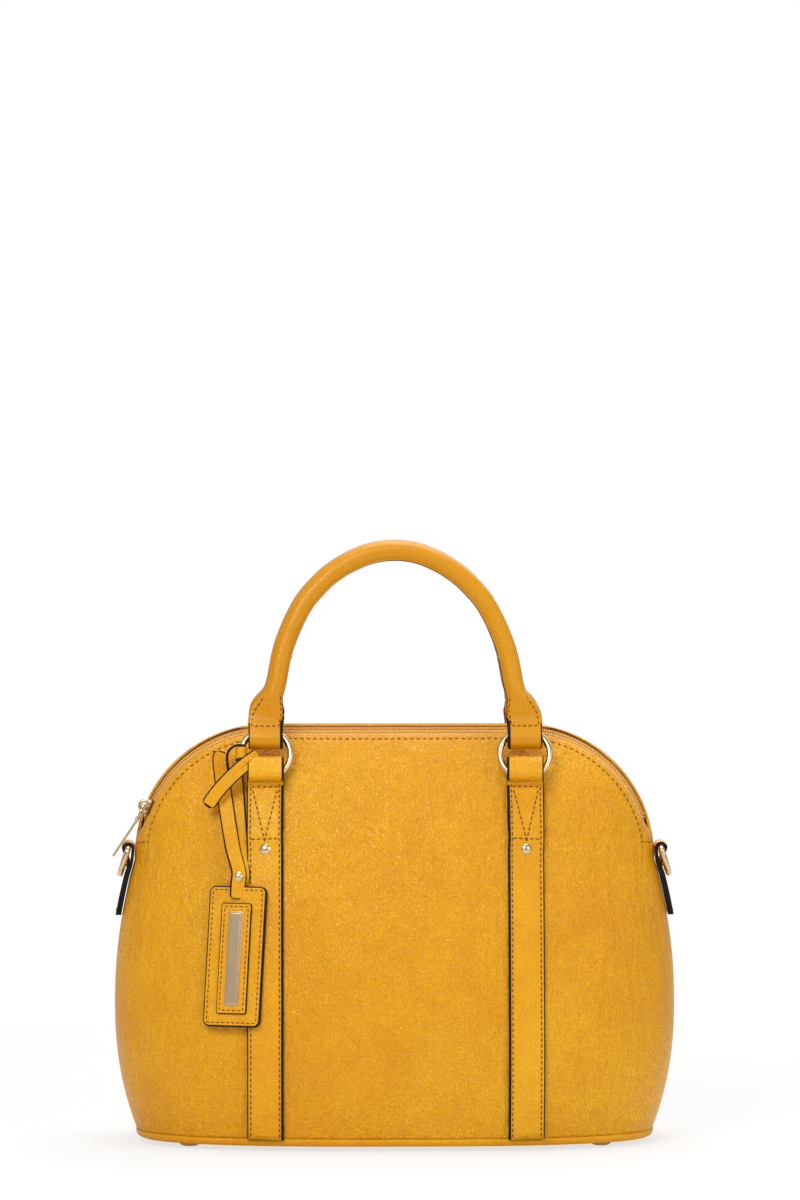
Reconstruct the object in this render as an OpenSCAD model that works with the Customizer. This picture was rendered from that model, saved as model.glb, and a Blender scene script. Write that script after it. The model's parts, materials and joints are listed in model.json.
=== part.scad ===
/* [Body] */
// Width of the body at its widest height
body_width = 339.6; // [300:1:380]
// Height above the floor at which the body is widest
widest_height = 85; // [70:1:100]
// How far each side draws in from the widest height down to the base seam
base_tuck = 13; // [6:0.5:20]
// Half depth of the body at its deepest height
body_half_depth = 78; // [70:1:86]
// Height at which the body is deepest
deepest_height = 60; // [50:1:80]
// Half depth of the body at the base seam
base_half_depth = 71; // [62:1:78]
// Thickness of the body panels, leather and backing together
panel_thickness = 2; // [1.4:0.1:2.6]
// Height of the seam between the panels and the base
base_seam_height = 8; // [7:0.5:10]

/* [Dome] */
// Half length of the straight run along the top
dome_half_run = 76.8; // [70:1:84]
// Height of the centre of the two corner arcs
dome_centre_height = 170.8; // [160:1:180]
// Radius of the corner arcs at the side seams
seam_radius = 80.6; // [74:0.2:86]
// Radius of the front panel's zip edge
front_edge_radius = 76.6; // [75:0.2:78]
// Radius of the back panel's zip edge
rear_edge_radius = 81; // [79.6:0.2:82]
// Half of the opening that the zip closes
zip_half_gap = 9; // [8:0.5:10]
// Height at which the zip opening starts on each side
zip_start_height = 181; // [178:1:184]
// Height over which the zip opening widens
zip_rise_height = 18; // [14:1:22]

/* [Base] */
// Height of the feet under the base
foot_height = 3; // [2.5:0.1:4]
// Diameter of a foot where it meets the base
foot_diameter = 13; // [10:0.5:16]
// Diameter of the flat that a foot stands on
foot_flat_diameter = 8; // [6:0.5:9]
// Distance of a foot from the middle of the width
foot_x = 124; // [110:1:128]
// Distance of a foot from the middle of the depth
foot_y = 36; // [28:1:42]
// Thickness of the stiff board in the base
board_thickness = 2; // [1.5:0.1:2.4]
// Thickness of the lining cloth
lining_thickness = 0.6; // [0.5:0.1:0.8]

/* [Straps] */
// Width of the vertical straps
strap_width = 22; // [20:0.5:22]
// Thickness of one layer of strap leather
strap_leather = 2; // [1.6:0.1:2.2]
// Distance of each strap from the middle of the width
strap_x = 78; // [74:1:82]
// Height of the stitch line that closes the ring loop
loop_stitch_height = 219; // [216:1:221]
// Height of the lower end of the turned-back layer
strap_turn_height = 188; // [184:1:194]
// Lean of the ring loop towards the middle of the bag, in degrees
loop_lean = 14; // [10:1:18]
// Length of slack in the ring loop
loop_slack = 3.9; // [3:0.1:5]
// Height of the rivet's centre
rivet_height = 180; // [176:1:182]
// Diameter of a strap rivet
rivet_diameter = 6.4; // [5.6:0.2:7]

/* [Rings] */
// Thickness of the ring wire
ring_wire = 3.9; // [3.5:0.1:4.1]
// Radius of the ring, to the middle of its wire
ring_radius = 15; // [14.8:0.1:15.4]
// Lean of the rings towards the middle of the bag, in degrees
ring_lean = 24; // [20:1:27]
// Height of the ring joint in the strap loop
ring_pivot_height = 224.9; // [224:0.1:226]

/* [Handles] */
// Diameter of the rolled handle
handle_diameter = 12; // [11:0.5:13]
// Radius of the handle's arch, to the middle of the roll
arch_radius = 65.5; // [62:0.5:68]
// Distance from the handle's pivot up to the centre of its arch
arch_rise = 46.6; // [42:0.5:52]
// Width of the flat tab at the handle's end
tab_width = 21.6; // [20:0.2:21.6]
// Thickness of the flat tab
tab_thickness = 5.5; // [4.5:0.1:6]
// Lean of the handles towards each other, in degrees
handle_lean = 11.5; // [9:0.5:12]
// Slack of the handle loop below its pivot
handle_slack = 2.4; // [1.8:0.1:3]
// Diameter of the cord core inside the handle
core_diameter = 7; // [6:0.5:8]

/* [Zip] */
// Thickness of the zip tape
tape_thickness = 0.8; // [0.6:0.1:1]
// Half width of the zip tape
tape_half_width = 9; // [8.8:0.1:9.1]
// Diameter of the coil on each side
coil_diameter = 2.2; // [2:0.1:2.4]
// Length of the slider
slider_length = 11; // [10:0.5:12]
// Half width of the slider
slider_half_width = 4.6; // [4.4:0.1:5]
// Angle of the closed slider on the left corner arc
slider_angle = 157; // [152:1:158]
// Length of the pull bar
pull_length = 27; // [24:1:28]
// Width of the pull bar
pull_width = 5.4; // [5:0.2:6]

/* [Side tabs] */
// Width of the side tabs
side_tab_width = 22; // [20:0.5:22]
// Height of the side tab's lower end
side_tab_bottom = 137; // [130:1:142]
// Height of the D-ring's bar
d_pivot_height = 177.5; // [176:0.5:178]
// Thickness of one layer of side tab leather
side_tab_leather = 1.7; // [1.5:0.1:1.9]
// Thickness of the D-ring's wire
d_wire = 3.6; // [3.2:0.1:3.8]
// Radius of the D-ring's round end, to the middle of the wire
d_radius = 13; // [12.9:0.1:14]
// Length of the straight sides of the D-ring
d_straight = 4; // [3:0.2:5]

/* [Tag] */
// Width of the tag
tag_width = 35.4; // [32:0.2:36]
// Height of the tag
tag_height = 84.6; // [78:0.2:88]
// Thickness of the tag
tag_thickness = 3; // [2.4:0.1:3.2]
// Radius of the tag's corners
tag_corner = 4; // [3:0.5:5]
// Distance of the tag from the middle of the width
tag_x = 94.1; // [93:0.1:96]
// Height of the bar that the tag hangs from
tag_pivot_height = 156.4; // [153:0.2:158]
// Width of the tag's strap
tag_strap_width = 9; // [8:0.2:9]
// Thickness of the tag's strap, both layers together
tag_strap_thickness = 2.4; // [2:0.1:2.6]
// Width of the patch on the tag
patch_width = 18.8; // [17:0.2:20]
// Height of the patch on the tag
patch_height = 66.7; // [62:0.5:70]
// Width of the metal plate
plate_width = 8.8; // [8:0.2:10]
// Height of the metal plate
plate_height = 56.8; // [52:0.5:60]

/* [Hidden] */
// Shape numbers of the body: powers of its side and depth curves, and of its plan at the base and at the top
side_power = 2.3;
depth_power = 1.3;
depth_root = 0.55;
plan_power_base = 2.8;
plan_power_top = 2.1;
// Counts of the body mesh
low_rows = 4;
high_rows = 15;
plan_steps = 22;
// Distance that sewn leather stands off the panel under it
sew_gap = 0.45;
// Running clearance between loose pieces
play = 0.3;
// Overrun of cuts
over = 1;
$fn = 64;

half_width = body_width / 2;
top_tuck = half_width - dome_half_run - seam_radius;

function clip(s) = min(1, max(0, s));
function smooth(s) = clip(s) * clip(s) * (3 - 2 * clip(s));
function zip_rise(z) = smooth((z - zip_start_height) / zip_rise_height);
function top_z(edge, inset) = dome_centre_height + edge - inset;

// Half width of the body at a height
function side_w(z) = z > widest_height
    ? half_width - top_tuck * pow((z - widest_height) / (dome_centre_height - widest_height), 2)
    : half_width - base_tuck * pow((widest_height - z) / (widest_height - base_seam_height), side_power);
function arc_w(z, edge, inset) = let (r = seam_radius + (edge - seam_radius) * zip_rise(z) - inset)
    dome_half_run + sqrt(max(0, pow(r, 2) - pow(z - dome_centre_height, 2)));
function body_w(z, edge, inset) = z < dome_centre_height ? side_w(z) - inset : arc_w(z, edge, inset);

// Depth of the body at a height, and the distance of its skin from the middle plane
function low_depth(z) = (body_half_depth - base_half_depth)
    * pow(max(0, deepest_height - z) / (deepest_height - base_seam_height), 2);
function high_share(z, edge, inset) = clip((z - deepest_height) / (top_z(edge, inset) - deepest_height));
function body_d(z, edge, inset) = z < deepest_height
    ? body_half_depth - inset - low_depth(z)
    : zip_half_gap + (body_half_depth - inset - zip_half_gap)
        * pow(max(0, 1 - pow(high_share(z, edge, inset), depth_power)), depth_root);
function plan_power(z) = plan_power_base
    + (plan_power_top - plan_power_base) * clip((z - base_seam_height) / (dome_centre_height + seam_radius));
function bulge(s, p) = pow(max(0, 1 - pow(min(1, abs(s)), p)), 1 / p);
function skin_y(x, z, edge, inset) = let (e = zip_half_gap * zip_rise(z))
    -(e + (body_d(z, edge, inset) - e) * bulge(x / body_w(z, edge, inset), plan_power(z)));
function side_x(y, z, out) = body_w(z, seam_radius, -out) * bulge(y / body_d(z, seam_radius, -out), plan_power(z));

// Row heights of a panel: even below its deepest height, closing up towards the top
function row_z(k, edge, inset) = k <= low_rows
    ? base_seam_height + (deepest_height - base_seam_height) * k / low_rows
    : deepest_height + (top_z(edge, inset) - deepest_height) * sin(90 * (k - low_rows) / high_rows);
function panel_row(z, edge, inset) = [for (i = [0:plan_steps])
    let (x = body_w(z, edge, inset) * sin(180 * i / plan_steps - 90)) [x, skin_y(x, z, edge, inset), z]];
function panel_grid(edge, inset, last) = [for (k = [0:last]) panel_row(row_z(k, edge, inset), edge, inset)];

// Closed solid between an outer and an inner grid of points, rows upwards and columns to the right
module sheet(outer, inner) {
    rows = len(outer);
    cols = len(outer[0]);
    points = concat([for (r = outer) for (p = r) p], [for (r = inner) for (p = r) p]);
    function a(r, c) = r * cols + c;
    function b(r, c) = rows * cols + r * cols + c;
    function quad(p, q, r, s) = [[p, q, r], [p, r, s]];
    skins = [for (r = [0:rows - 2]) for (c = [0:cols - 2])
        each concat(quad(a(r, c), a(r + 1, c), a(r + 1, c + 1), a(r, c + 1)),
            quad(b(r, c), b(r, c + 1), b(r + 1, c + 1), b(r + 1, c)))];
    ends = [for (c = [0:cols - 2])
        each concat(quad(a(0, c), a(0, c + 1), b(0, c + 1), b(0, c)),
            quad(a(rows - 1, c + 1), a(rows - 1, c), b(rows - 1, c), b(rows - 1, c + 1)))];
    sides = [for (r = [0:rows - 2])
        each concat(quad(a(r + 1, 0), a(r, 0), b(r, 0), b(r + 1, 0)),
            quad(a(r, cols - 1), a(r + 1, cols - 1), b(r + 1, cols - 1), b(r, cols - 1)))];
    polyhedron(points, concat(skins, ends, sides), convexity = 6);
}

// Flat plan of the base, drawn in by a distance
function plan_points(inset) = [for (i = [0:4 * plan_steps - 1]) let (t = 90 * i / plan_steps,
    w = side_w(base_seam_height) - inset, d = base_half_depth - inset, q = 2 / plan_power_base)
    [w * sign(cos(t)) * pow(abs(cos(t)), q), d * sign(sin(t)) * pow(abs(sin(t)), q)]];

// Heads of the rivets that hold the straps
rivet_head = rivet_diameter / 4;
module at_rivet(side, edge) {
    z = rivet_height;
    rise = skin_y(strap_x, z + rivet_diameter, edge, 0) - skin_y(strap_x, z - rivet_diameter, edge, 0);
    translate([side * strap_x, skin_y(strap_x, z, edge, -sew_gap - strap_leather), z])
        rotate([90 - atan(rise / (2 * rivet_diameter)), 0, 0]) translate([0, 0, 2 * play]) children();
}
module rivet(diameter, height) {
    cylinder(d = diameter, h = height / 2);
    translate([0, 0, height / 2]) cylinder(d1 = diameter, d2 = diameter / 2, h = height / 2);
}
module strap_rivet(side, edge) {
    at_rivet(side, edge) rivet(rivet_diameter, rivet_head);
}

// A panel stands alone in its node, so its sheet is listed from the inside out
module panel(edge) {
    last = low_rows + high_rows;
    color("goldenrod")
        sheet(panel_grid(edge, panel_thickness, last), panel_grid(edge, 0, last));
}
module front_panel() panel(front_edge_radius);
module back_panel() mirror([0, 1, 0]) panel(rear_edge_radius);

// Base with rounded lower edge, up to the seam
lip_round = base_seam_height - foot_height;
lip_steps = 3;
module base_panel() {
    color("darkgoldenrod") for (i = [0:lip_steps - 1]) {
        low = foot_height + lip_round * i / lip_steps;
        inset = lip_round / 2 * (1 - sin(90 * (i + 1) / lip_steps));
        translate([0, 0, low]) linear_extrude(lip_round / lip_steps) polygon(plan_points(inset));
    }
}
module feet() {
    color("palegoldenrod") for (sx = [-1, 1]) for (sy = [-1, 1]) translate([sx * foot_x, sy * foot_y, 0])
        cylinder(h = foot_height, d1 = foot_flat_diameter, d2 = foot_diameter);
}
board_low = base_seam_height;
board_high = board_low + board_thickness;
board_inset = panel_thickness + 4 * play;
module base_board() {
    color("saddlebrown") translate([0, 0, board_low])
        linear_extrude(board_thickness) polygon(plan_points(board_inset));
}

// Lining: two hanging walls and a floor over the board
lining_out = panel_thickness + play;
lining_in = lining_out + lining_thickness;
lining_low = board_high + play;
function lining_grid(edge, inset) = [for (k = [0:low_rows + high_rows - 2])
    panel_row(max(lining_low, row_z(k, edge, inset)), edge, inset)];
module lining_wall(edge) {
    sheet(lining_grid(edge, lining_out), lining_grid(edge, lining_in));
}
// Room for the zip and its slider inside the bag
module zip_room() {
    w = tape_half_width + play;
    zip_run() polygon(strip_box(-w, w, -tape_thickness - plate - 3 * play, panel_thickness + over));
}
module lining() {
    color("tan") {
        difference() {
            union() {
                lining_wall(front_edge_radius);
                mirror([0, 1, 0]) lining_wall(rear_edge_radius);
            }
            zip_room();
        }
        translate([0, 0, lining_low]) linear_extrude(lining_thickness) polygon(plan_points(lining_in));
    }
}

// Vertical straps, sewn to the panels, with a loop at the top for the ring
strap_steps = 3;
strap_low = base_seam_height + play;
function strap_grid(edge, x0, width, z0, z1, rows, out) = [for (k = [0:rows]) [for (i = [0:strap_steps])
    let (z = z0 + (z1 - z0) * k / rows, x = x0 + width * (i / strap_steps - 1 / 2))
    [x, skin_y(x, z, edge, -out), z]]];
module sewn_strip(edge, x0, width, z0, z1, rows, low_out, high_out) {
    sheet(strap_grid(edge, x0, width, z0, z1, rows, high_out), strap_grid(edge, x0, width, z0, z1, rows, low_out));
}
swing = ring_radius - sqrt(pow(ring_radius, 2) - pow(strap_width / 2, 2));
loop_inner = ring_wire / 2 + swing / 2 + play;
loop_outer = loop_inner + strap_leather;
ring_pivot_rise = ring_radius - swing / 2;
function ring_pivot_y(edge) = skin_y(strap_x, loop_stitch_height, edge, 0) - sew_gap - loop_outer;
function spot(r, t) = [r * cos(t), r * sin(t)];

// Capsule in a plane, from one point to another
module capsule(a, b, r) {
    d = b - a;
    n = [-d[1], d[0]] / norm(d) * r;
    translate(a) circle(r);
    translate(b) circle(r);
    polygon([a + n, a - n, b - n, b + n]);
}
neck_drop = 3;
module strap_loop(edge) {
    p = [ring_pivot_y(edge), ring_pivot_height];
    top = p + spot(loop_slack, 90 - loop_lean);
    neck_z = loop_stitch_height - neck_drop;
    neck_y = skin_y(strap_x, neck_z, edge, -sew_gap);
    rotate([90, 0, 90]) translate([0, 0, -strap_width / 2]) linear_extrude(strap_width) difference() {
        union() {
            capsule(p, top, loop_outer);
            polygon([[neck_y, neck_z], p + spot(loop_outer, -35), p + spot(loop_outer, -100),
                [neck_y - 2 * strap_leather, neck_z]]);
        }
        capsule(p, top, loop_inner);
    }
}
module strap(side, edge) {
    color("goldenrod") {
        sewn_strip(edge, side * strap_x, strap_width, strap_low, loop_stitch_height, 12,
            sew_gap, sew_gap + strap_leather);
        sewn_strip(edge, side * strap_x, strap_width, strap_turn_height, loop_stitch_height, 3,
            sew_gap, sew_gap + 2 * strap_leather);
        translate([side * strap_x, 0, 0]) strap_loop(edge);
    }
}
module strap_front_left() strap(-1, front_edge_radius);
module strap_front_right() strap(1, front_edge_radius);
module strap_rear_left() mirror([0, 1, 0]) strap(-1, rear_edge_radius);
module strap_rear_right() mirror([0, 1, 0]) strap(1, rear_edge_radius);

module strap_rivets() {
    color("palegoldenrod") for (side = [-1, 1]) {
        strap_rivet(side, front_edge_radius);
        mirror([0, 1, 0]) strap_rivet(side, rear_edge_radius);
    }
}

// Rings, leaning in towards the middle of the bag
module ring(side, edge) {
    color("palegoldenrod") translate([side * strap_x, ring_pivot_y(edge), ring_pivot_height])
        rotate([-ring_lean, 0, 0]) translate([0, 0, ring_pivot_rise]) rotate([90, 0, 0])
        rotate_extrude() translate([ring_radius, 0]) circle(d = ring_wire);
}
module ring_front_left() ring(-1, front_edge_radius);
module ring_front_right() ring(1, front_edge_radius);
module ring_rear_left() mirror([0, 1, 0]) ring(-1, rear_edge_radius);
module ring_rear_right() mirror([0, 1, 0]) ring(1, rear_edge_radius);

// Handles, drawn in their own plane with the pivot at the origin
leg_rings = 9;
arch_rings = 26;
section_points = 20;
tab_start = loop_outer + play;
function leg_share(v) = smooth((v - 2 * tab_start) / (arch_rise - 3 * tab_start));
function leg_x(v) = strap_x - (strap_x - arch_radius) * smooth((v - tab_start) / (arch_rise - tab_start));
function leg_a(v) = tab_width / 2 - (tab_width - handle_diameter) / 2 * leg_share(v);
function leg_b(v) = tab_thickness / 2 + (handle_diameter - tab_thickness) / 2 * leg_share(v);
function section(c, dir, a, b, n) = [for (i = [0:section_points - 1]) let (t = 360 * i / section_points,
    p = a * sign(cos(t)) * pow(abs(cos(t)), 2 / n), q = b * sign(sin(t)) * pow(abs(sin(t)), 2 / n))
    [c[0] + p * dir[0], q, c[1] + p * dir[1]]];
leg_path = [for (k = [0:leg_rings]) tab_start + (arch_rise - tab_start) * k / (leg_rings + 1)];
function leg_section(side, v) = section([side * leg_x(v), v], [1, 0], leg_a(v), leg_b(v), 6 - 4 * leg_share(v));
function arch_section(t) = section([arch_radius * cos(t), arch_rise + arch_radius * sin(t)],
    [-cos(t), -sin(t)], handle_diameter / 2, handle_diameter / 2, 2);
handle_sections = concat(
    [for (v = leg_path) leg_section(-1, v)],
    [for (k = [0:arch_rings]) arch_section(180 - 180 * k / arch_rings)],
    [for (k = [leg_rings:-1:0]) [for (p = leg_section(-1, leg_path[k])) [-p[0], p[1], p[2]]]]);

// Closed tube through a list of rings of points
module tube(rings) {
    n = len(rings[0]);
    m = len(rings);
    points = [for (r = rings) for (p = r) p];
    walls = [for (k = [0:m - 2]) for (i = [0:n - 1]) let (j = (i + 1) % n)
        each [[k * n + i, (k + 1) * n + j, k * n + j], [k * n + i, (k + 1) * n + i, (k + 1) * n + j]]];
    first = [for (i = [1:n - 2]) [0, i, i + 1]];
    last = [for (i = [1:n - 2]) [(m - 1) * n, (m - 1) * n + i + 1, (m - 1) * n + i]];
    polyhedron(points, concat(walls, first, last), convexity = 6);
}
module handle_loop(side) {
    slack = [0, -handle_slack];
    width = tab_width - 4 * play;
    translate([side * strap_x, 0, 0]) rotate([90, 0, 90]) translate([0, 0, -width / 2])
        linear_extrude(width) difference() {
            union() {
                capsule([0, 0], slack, loop_outer);
                polygon([spot(loop_outer, 25), [tab_thickness / 2, tab_start + tab_thickness],
                    [-tab_thickness / 2, tab_start + tab_thickness], spot(loop_outer, 155)]);
            }
            capsule([0, 0], slack, loop_inner);
        }
}
module core_arc(d) {
    translate([0, 0, arch_rise]) rotate([90, 0, 0]) rotate_extrude(angle = 180)
        translate([arch_radius, 0]) circle(d = d);
}
// The cover's two edges meet along the inner side of the arch, with the seam's slit between them
module seam_slit() {
    translate([0, 0, arch_rise]) rotate([90, 0, 0]) rotate_extrude(angle = 180)
        translate([arch_radius - handle_diameter, -play / 2]) square([handle_diameter, play]);
}
module in_handle(edge) {
    rise = 2 * ring_pivot_rise;
    translate([0, ring_pivot_y(edge) + rise * sin(ring_lean), ring_pivot_height + rise * cos(ring_lean)])
        rotate([-handle_lean, 0, 0]) children();
}
module handle(edge) {
    color("goldenrod") in_handle(edge) {
        difference() {
            tube(handle_sections);
            core_arc(core_diameter + play);
            seam_slit();
        }
        for (side = [-1, 1]) handle_loop(side);
    }
}
module handle_core(edge) {
    color("burlywood") in_handle(edge) core_arc(core_diameter);
}
module handle_front() handle(front_edge_radius);
module handle_rear() mirror([0, 1, 0]) handle(rear_edge_radius);
module handle_core_front() handle_core(front_edge_radius);
module handle_core_rear() mirror([0, 1, 0]) handle_core(rear_edge_radius);

// Zip strip: it tilts forward, because the front panel's edge is lower than the back panel's
strip_tilt = asin((rear_edge_radius - front_edge_radius) / (2 * zip_half_gap));
strip_radius = (rear_edge_radius + front_edge_radius) / 2 - (panel_thickness + 2 * play) / cos(strip_tilt);
// Angles over the dome's centre where the tape ends and where its leather ends sit
tape_end_share = 0.75;
tape_end_angle = asin((zip_start_height + tape_end_share * zip_rise_height - dome_centre_height) / strip_radius);
end_angle_high = asin((zip_start_height + zip_rise_height / 2 - dome_centre_height) / strip_radius);
// Point of the strip's cross-section: w forward from its middle, h up from the tape's top
function strip_point(w, h) = [strip_radius - w * sin(strip_tilt) + h * cos(strip_tilt),
    w * cos(strip_tilt) + h * sin(strip_tilt)];
function strip_box(w0, w1, h0, h1) = [strip_point(w0, h0), strip_point(w1, h0),
    strip_point(w1, h1), strip_point(w0, h1)];
module left_arc(from, to) {
    translate([-dome_half_run, 0, dome_centre_height]) rotate([90, 0, 0]) rotate([0, 0, from])
        rotate_extrude(angle = to - from) children();
}
module zip_run() {
    left_arc(90, 180 - tape_end_angle) children();
    mirror([1, 0, 0]) left_arc(90, 180 - tape_end_angle) children();
    translate([-dome_half_run, 0, dome_centre_height]) rotate([90, 0, 90])
        linear_extrude(2 * dome_half_run) mirror([1, 0]) rotate(90) mirror([0, 1]) children();
}
slot_half = 0.55;
coil_x = slot_half + coil_diameter / 2;
module tape(side) {
    color("peru") zip_run() polygon(strip_box(side * slot_half, side * tape_half_width, -tape_thickness, 0));
}
module coil(side) {
    color("sienna") zip_run() translate(strip_point(side * coil_x, coil_diameter / 2)) circle(d = coil_diameter);
}
module zip_tape_front() tape(1);
module zip_tape_rear() tape(-1);
module zip_coil_front() coil(1);
module zip_coil_rear() coil(-1);

// Slider: plates above and below the tape, a post in the slot, side flanges and a bridge for the link
plate = 1.2;
bridge_wire = 2;
bridge_radius = 3.4;
bridge_rise = 1.2;
slider_half_angle = asin(slider_length / 2 / (seam_radius));
slider_top = coil_diameter + play;
module slider_arc(share) {
    left_arc(slider_angle - slider_half_angle * share, slider_angle + slider_half_angle * share) children();
}
module at_slider() {
    translate([-dome_half_run, 0, dome_centre_height]) rotate([0, 90 - slider_angle, 0]) children();
}
bridge_foot = strip_point(0, slider_top + plate);
module zip_slider() {
    color("palegoldenrod") {
        slider_arc(1) polygon(strip_box(-slider_half_width, slider_half_width, slider_top, slider_top + plate));
        slider_arc(1) polygon(strip_box(-slider_half_width, slider_half_width,
            -tape_thickness - play - plate, -tape_thickness - play));
        slider_arc(0.4) polygon(strip_box(-slot_half / 2, slot_half / 2, -tape_thickness - play - plate / 2,
            slider_top + plate / 2));
        for (side = [-1, 1]) slider_arc(1) polygon(strip_box(side * (slider_half_width - plate),
            side * slider_half_width, play, slider_top + plate / 2));
        at_slider() translate([0, -bridge_foot[1], bridge_foot[0] + bridge_rise]) rotate([90, 0, 0]) {
            rotate_extrude(angle = 180) translate([bridge_radius, 0]) circle(d = bridge_wire);
            for (side = [-1, 1]) translate([side * bridge_radius, 0, 0]) rotate([90, 0, 0])
                cylinder(d = bridge_wire, h = bridge_rise + plate / 2);
        }
    }
}

// Loop of the side tabs, which holds the D-ring
tab_loop_inner = d_wire / 2 + play;
tab_loop_outer = tab_loop_inner + side_tab_leather;
tab_loop_x = side_x(0, d_pivot_height, 0) + sew_gap + tab_loop_outer;

// Link ring through the bridge, and the pull bar that hangs from it
link_wire = 1.6;
link_radius = 4.4;
pull_thickness = 1.4;
// Lean of the link from straight down, away from the bag, in degrees
link_angle = 22;
function slider_spot(r, dx) = [-dome_half_run + r * cos(slider_angle) - dx * sin(slider_angle),
    -bridge_foot[1], dome_centre_height + r * sin(slider_angle) + dx * cos(slider_angle)];
link_pivot = slider_spot(bridge_foot[0] + bridge_rise + (link_wire + bridge_wire) / 3, 0);
link_turn = [-sin(link_angle), 0, -cos(link_angle)];
link_centre = link_pivot + link_turn * link_radius;
pull_pivot = link_pivot + link_turn * (2 * link_radius);
// The bar lies on the loop of the left side tab
pull_to_loop = [tab_loop_x + pull_pivot[0], pull_pivot[2] - d_pivot_height];
pull_angle = atan2(pull_to_loop[0], pull_to_loop[1])
    + asin((tab_loop_outer + pull_thickness / 2 + play) / norm(pull_to_loop));
module zip_pull_link() {
    color("palegoldenrod") translate(link_centre) rotate([0, link_angle, 0]) rotate([0, 90, 0])
        rotate_extrude() translate([link_radius, 0]) circle(d = link_wire);
}
eye_radius = link_wire / 2 + play;
module zip_pull() {
    color("palegoldenrod") translate(pull_pivot) rotate([0, pull_angle, 0]) {
        rotate([90, 0, 0]) translate([0, 0, -link_radius / 4]) linear_extrude(link_radius / 2) difference() {
            circle(eye_radius + plate / 2);
            circle(eye_radius);
        }
        translate([-pull_thickness / 2, -pull_width / 2, -pull_length])
            cube([pull_thickness, pull_width, pull_length - eye_radius - plate / 4]);
    }
}

// Leather ends over the ends of the tape
end_low = seam_radius + 2 * play;
end_half_width = slider_half_width - play;
end_angle_low = end_angle_high - 4.5;
module zip_end() {
    color("darkgoldenrod") left_arc(180 - end_angle_high, 180 - end_angle_low)
        translate([end_low, -end_half_width]) square([plate, 2 * end_half_width]);
}
module zip_end_left() zip_end();
module zip_end_right() mirror([1, 0, 0]) zip_end();

// Side tabs: two layers of leather down the side seam, with a loop for the D-ring
tab_rows = 5;
side_tab_top = d_pivot_height - tab_loop_outer / 2;
function side_grid(out) = [for (k = [0:tab_rows]) [for (i = [0:strap_steps])
    let (z = side_tab_bottom + (side_tab_top - side_tab_bottom) * k / tab_rows,
        y = side_tab_width * (i / strap_steps - 1 / 2)) [side_x(y, z, out), y, z]]];
module side_tab() {
    low = side_tab_top - side_tab_leather;
    color("goldenrod") {
        sheet(side_grid(sew_gap + 2 * side_tab_leather), side_grid(sew_gap));
        rotate([90, 0, 0]) translate([0, 0, -side_tab_width / 2]) linear_extrude(side_tab_width) difference() {
            translate([tab_loop_x, d_pivot_height]) circle(tab_loop_outer);
            translate([tab_loop_x, d_pivot_height]) circle(tab_loop_inner);
        }
    }
}
module side_tab_right() side_tab();
module side_tab_left() mirror([1, 0, 0]) side_tab();

// D-rings, hanging from the loops against the tabs
d_reach = d_radius + d_straight;
d_hang = asin((side_x(0, d_pivot_height - d_reach, sew_gap + 2 * side_tab_leather + d_wire / 2 + 2 * play)
    - tab_loop_x) / d_reach);
module d_ring() {
    color("palegoldenrod") translate([tab_loop_x, 0, d_pivot_height]) rotate([0, -d_hang, 0]) {
        rotate([90, 0, 0]) cylinder(d = d_wire, h = 2 * d_radius, center = true);
        for (side = [-1, 1]) translate([0, side * d_radius, 0]) {
            sphere(d = d_wire);
            translate([0, 0, -d_straight]) cylinder(d = d_wire, h = d_straight);
        }
        translate([0, 0, -d_straight]) rotate([0, 90, 0]) rotate([0, 0, -90])
            rotate_extrude(angle = 180) translate([d_radius, 0]) circle(d = d_wire);
    }
}
module d_ring_right() d_ring();
module d_ring_left() mirror([1, 0, 0]) d_ring();

// Tag: a knot round the left front ring, a strap with a tail, and the tag with its patch and plate
knot_leather = 1.2;
knot_height = 8;
knot_inner = ring_wire / 2 + play + play / 2;
knot_shift = play;
knot_outer = knot_inner + knot_leather;
ring_edge_x = strap_x + ring_radius - knot_shift;
ring_centre_y = ring_pivot_y(front_edge_radius) + ring_pivot_rise * sin(ring_lean);
ring_centre_z = ring_pivot_height + ring_pivot_rise * cos(ring_lean);
module tag_knot() {
    color("darkgoldenrod") translate([-ring_edge_x, ring_centre_y, ring_centre_z]) rotate([-ring_lean, 0, 0])
        difference() {
            cylinder(r = knot_outer, h = knot_height, center = true);
            cylinder(r = knot_inner, h = knot_height + over, center = true);
        }
}
tag_strap_top_x = ring_edge_x + knot_outer + 3 * play + tag_strap_width / 2;
tag_strap_top = ring_centre_z + knot_height / 2;
tag_loop_inner = tag_thickness / 2 + 6 * play;
tag_loop_leather = tag_strap_thickness / 2;
tag_loop_outer = tag_loop_inner + tag_loop_leather;
tag_pivot_y = skin_y(tag_x - tag_strap_width / 4, tag_pivot_height, front_edge_radius, -sew_gap) - tag_loop_outer;
tag_loop_width = tag_strap_width - 2 * tag_loop_leather;
tag_strap_low = tag_pivot_height + tag_loop_inner;
tag_rivet_z = tag_pivot_height + 2 * tag_loop_outer;
tag_strap_rows = 12;
function tag_strap_x(s) = -tag_x + (tag_x - tag_strap_top_x) * s;
function tag_strap_y(x, z, out) = min(skin_y(x, z, front_edge_radius, -out),
    ring_centre_y + tag_strap_thickness / 2 + sew_gap - out);
function tag_strap_grid(out) = [for (k = [0:tag_strap_rows]) [for (i = [0:2])
    let (s = k / tag_strap_rows, z = tag_strap_low + (tag_strap_top - tag_strap_low) * s,
        x = tag_strap_x(s) + tag_strap_width * (i / 2 - 1 / 2))
    [x, tag_strap_y(x, z, out) - tag_loop_inner * (1 - smooth(s * 4)) , z]]];
tail_thickness = tag_strap_thickness / 2;
tail_drop = 3.5 * tag_strap_width;
tail_top = [-(strap_x + strap_width / 2 + tag_strap_width / 2 + play + play), ring_centre_z];
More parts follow.
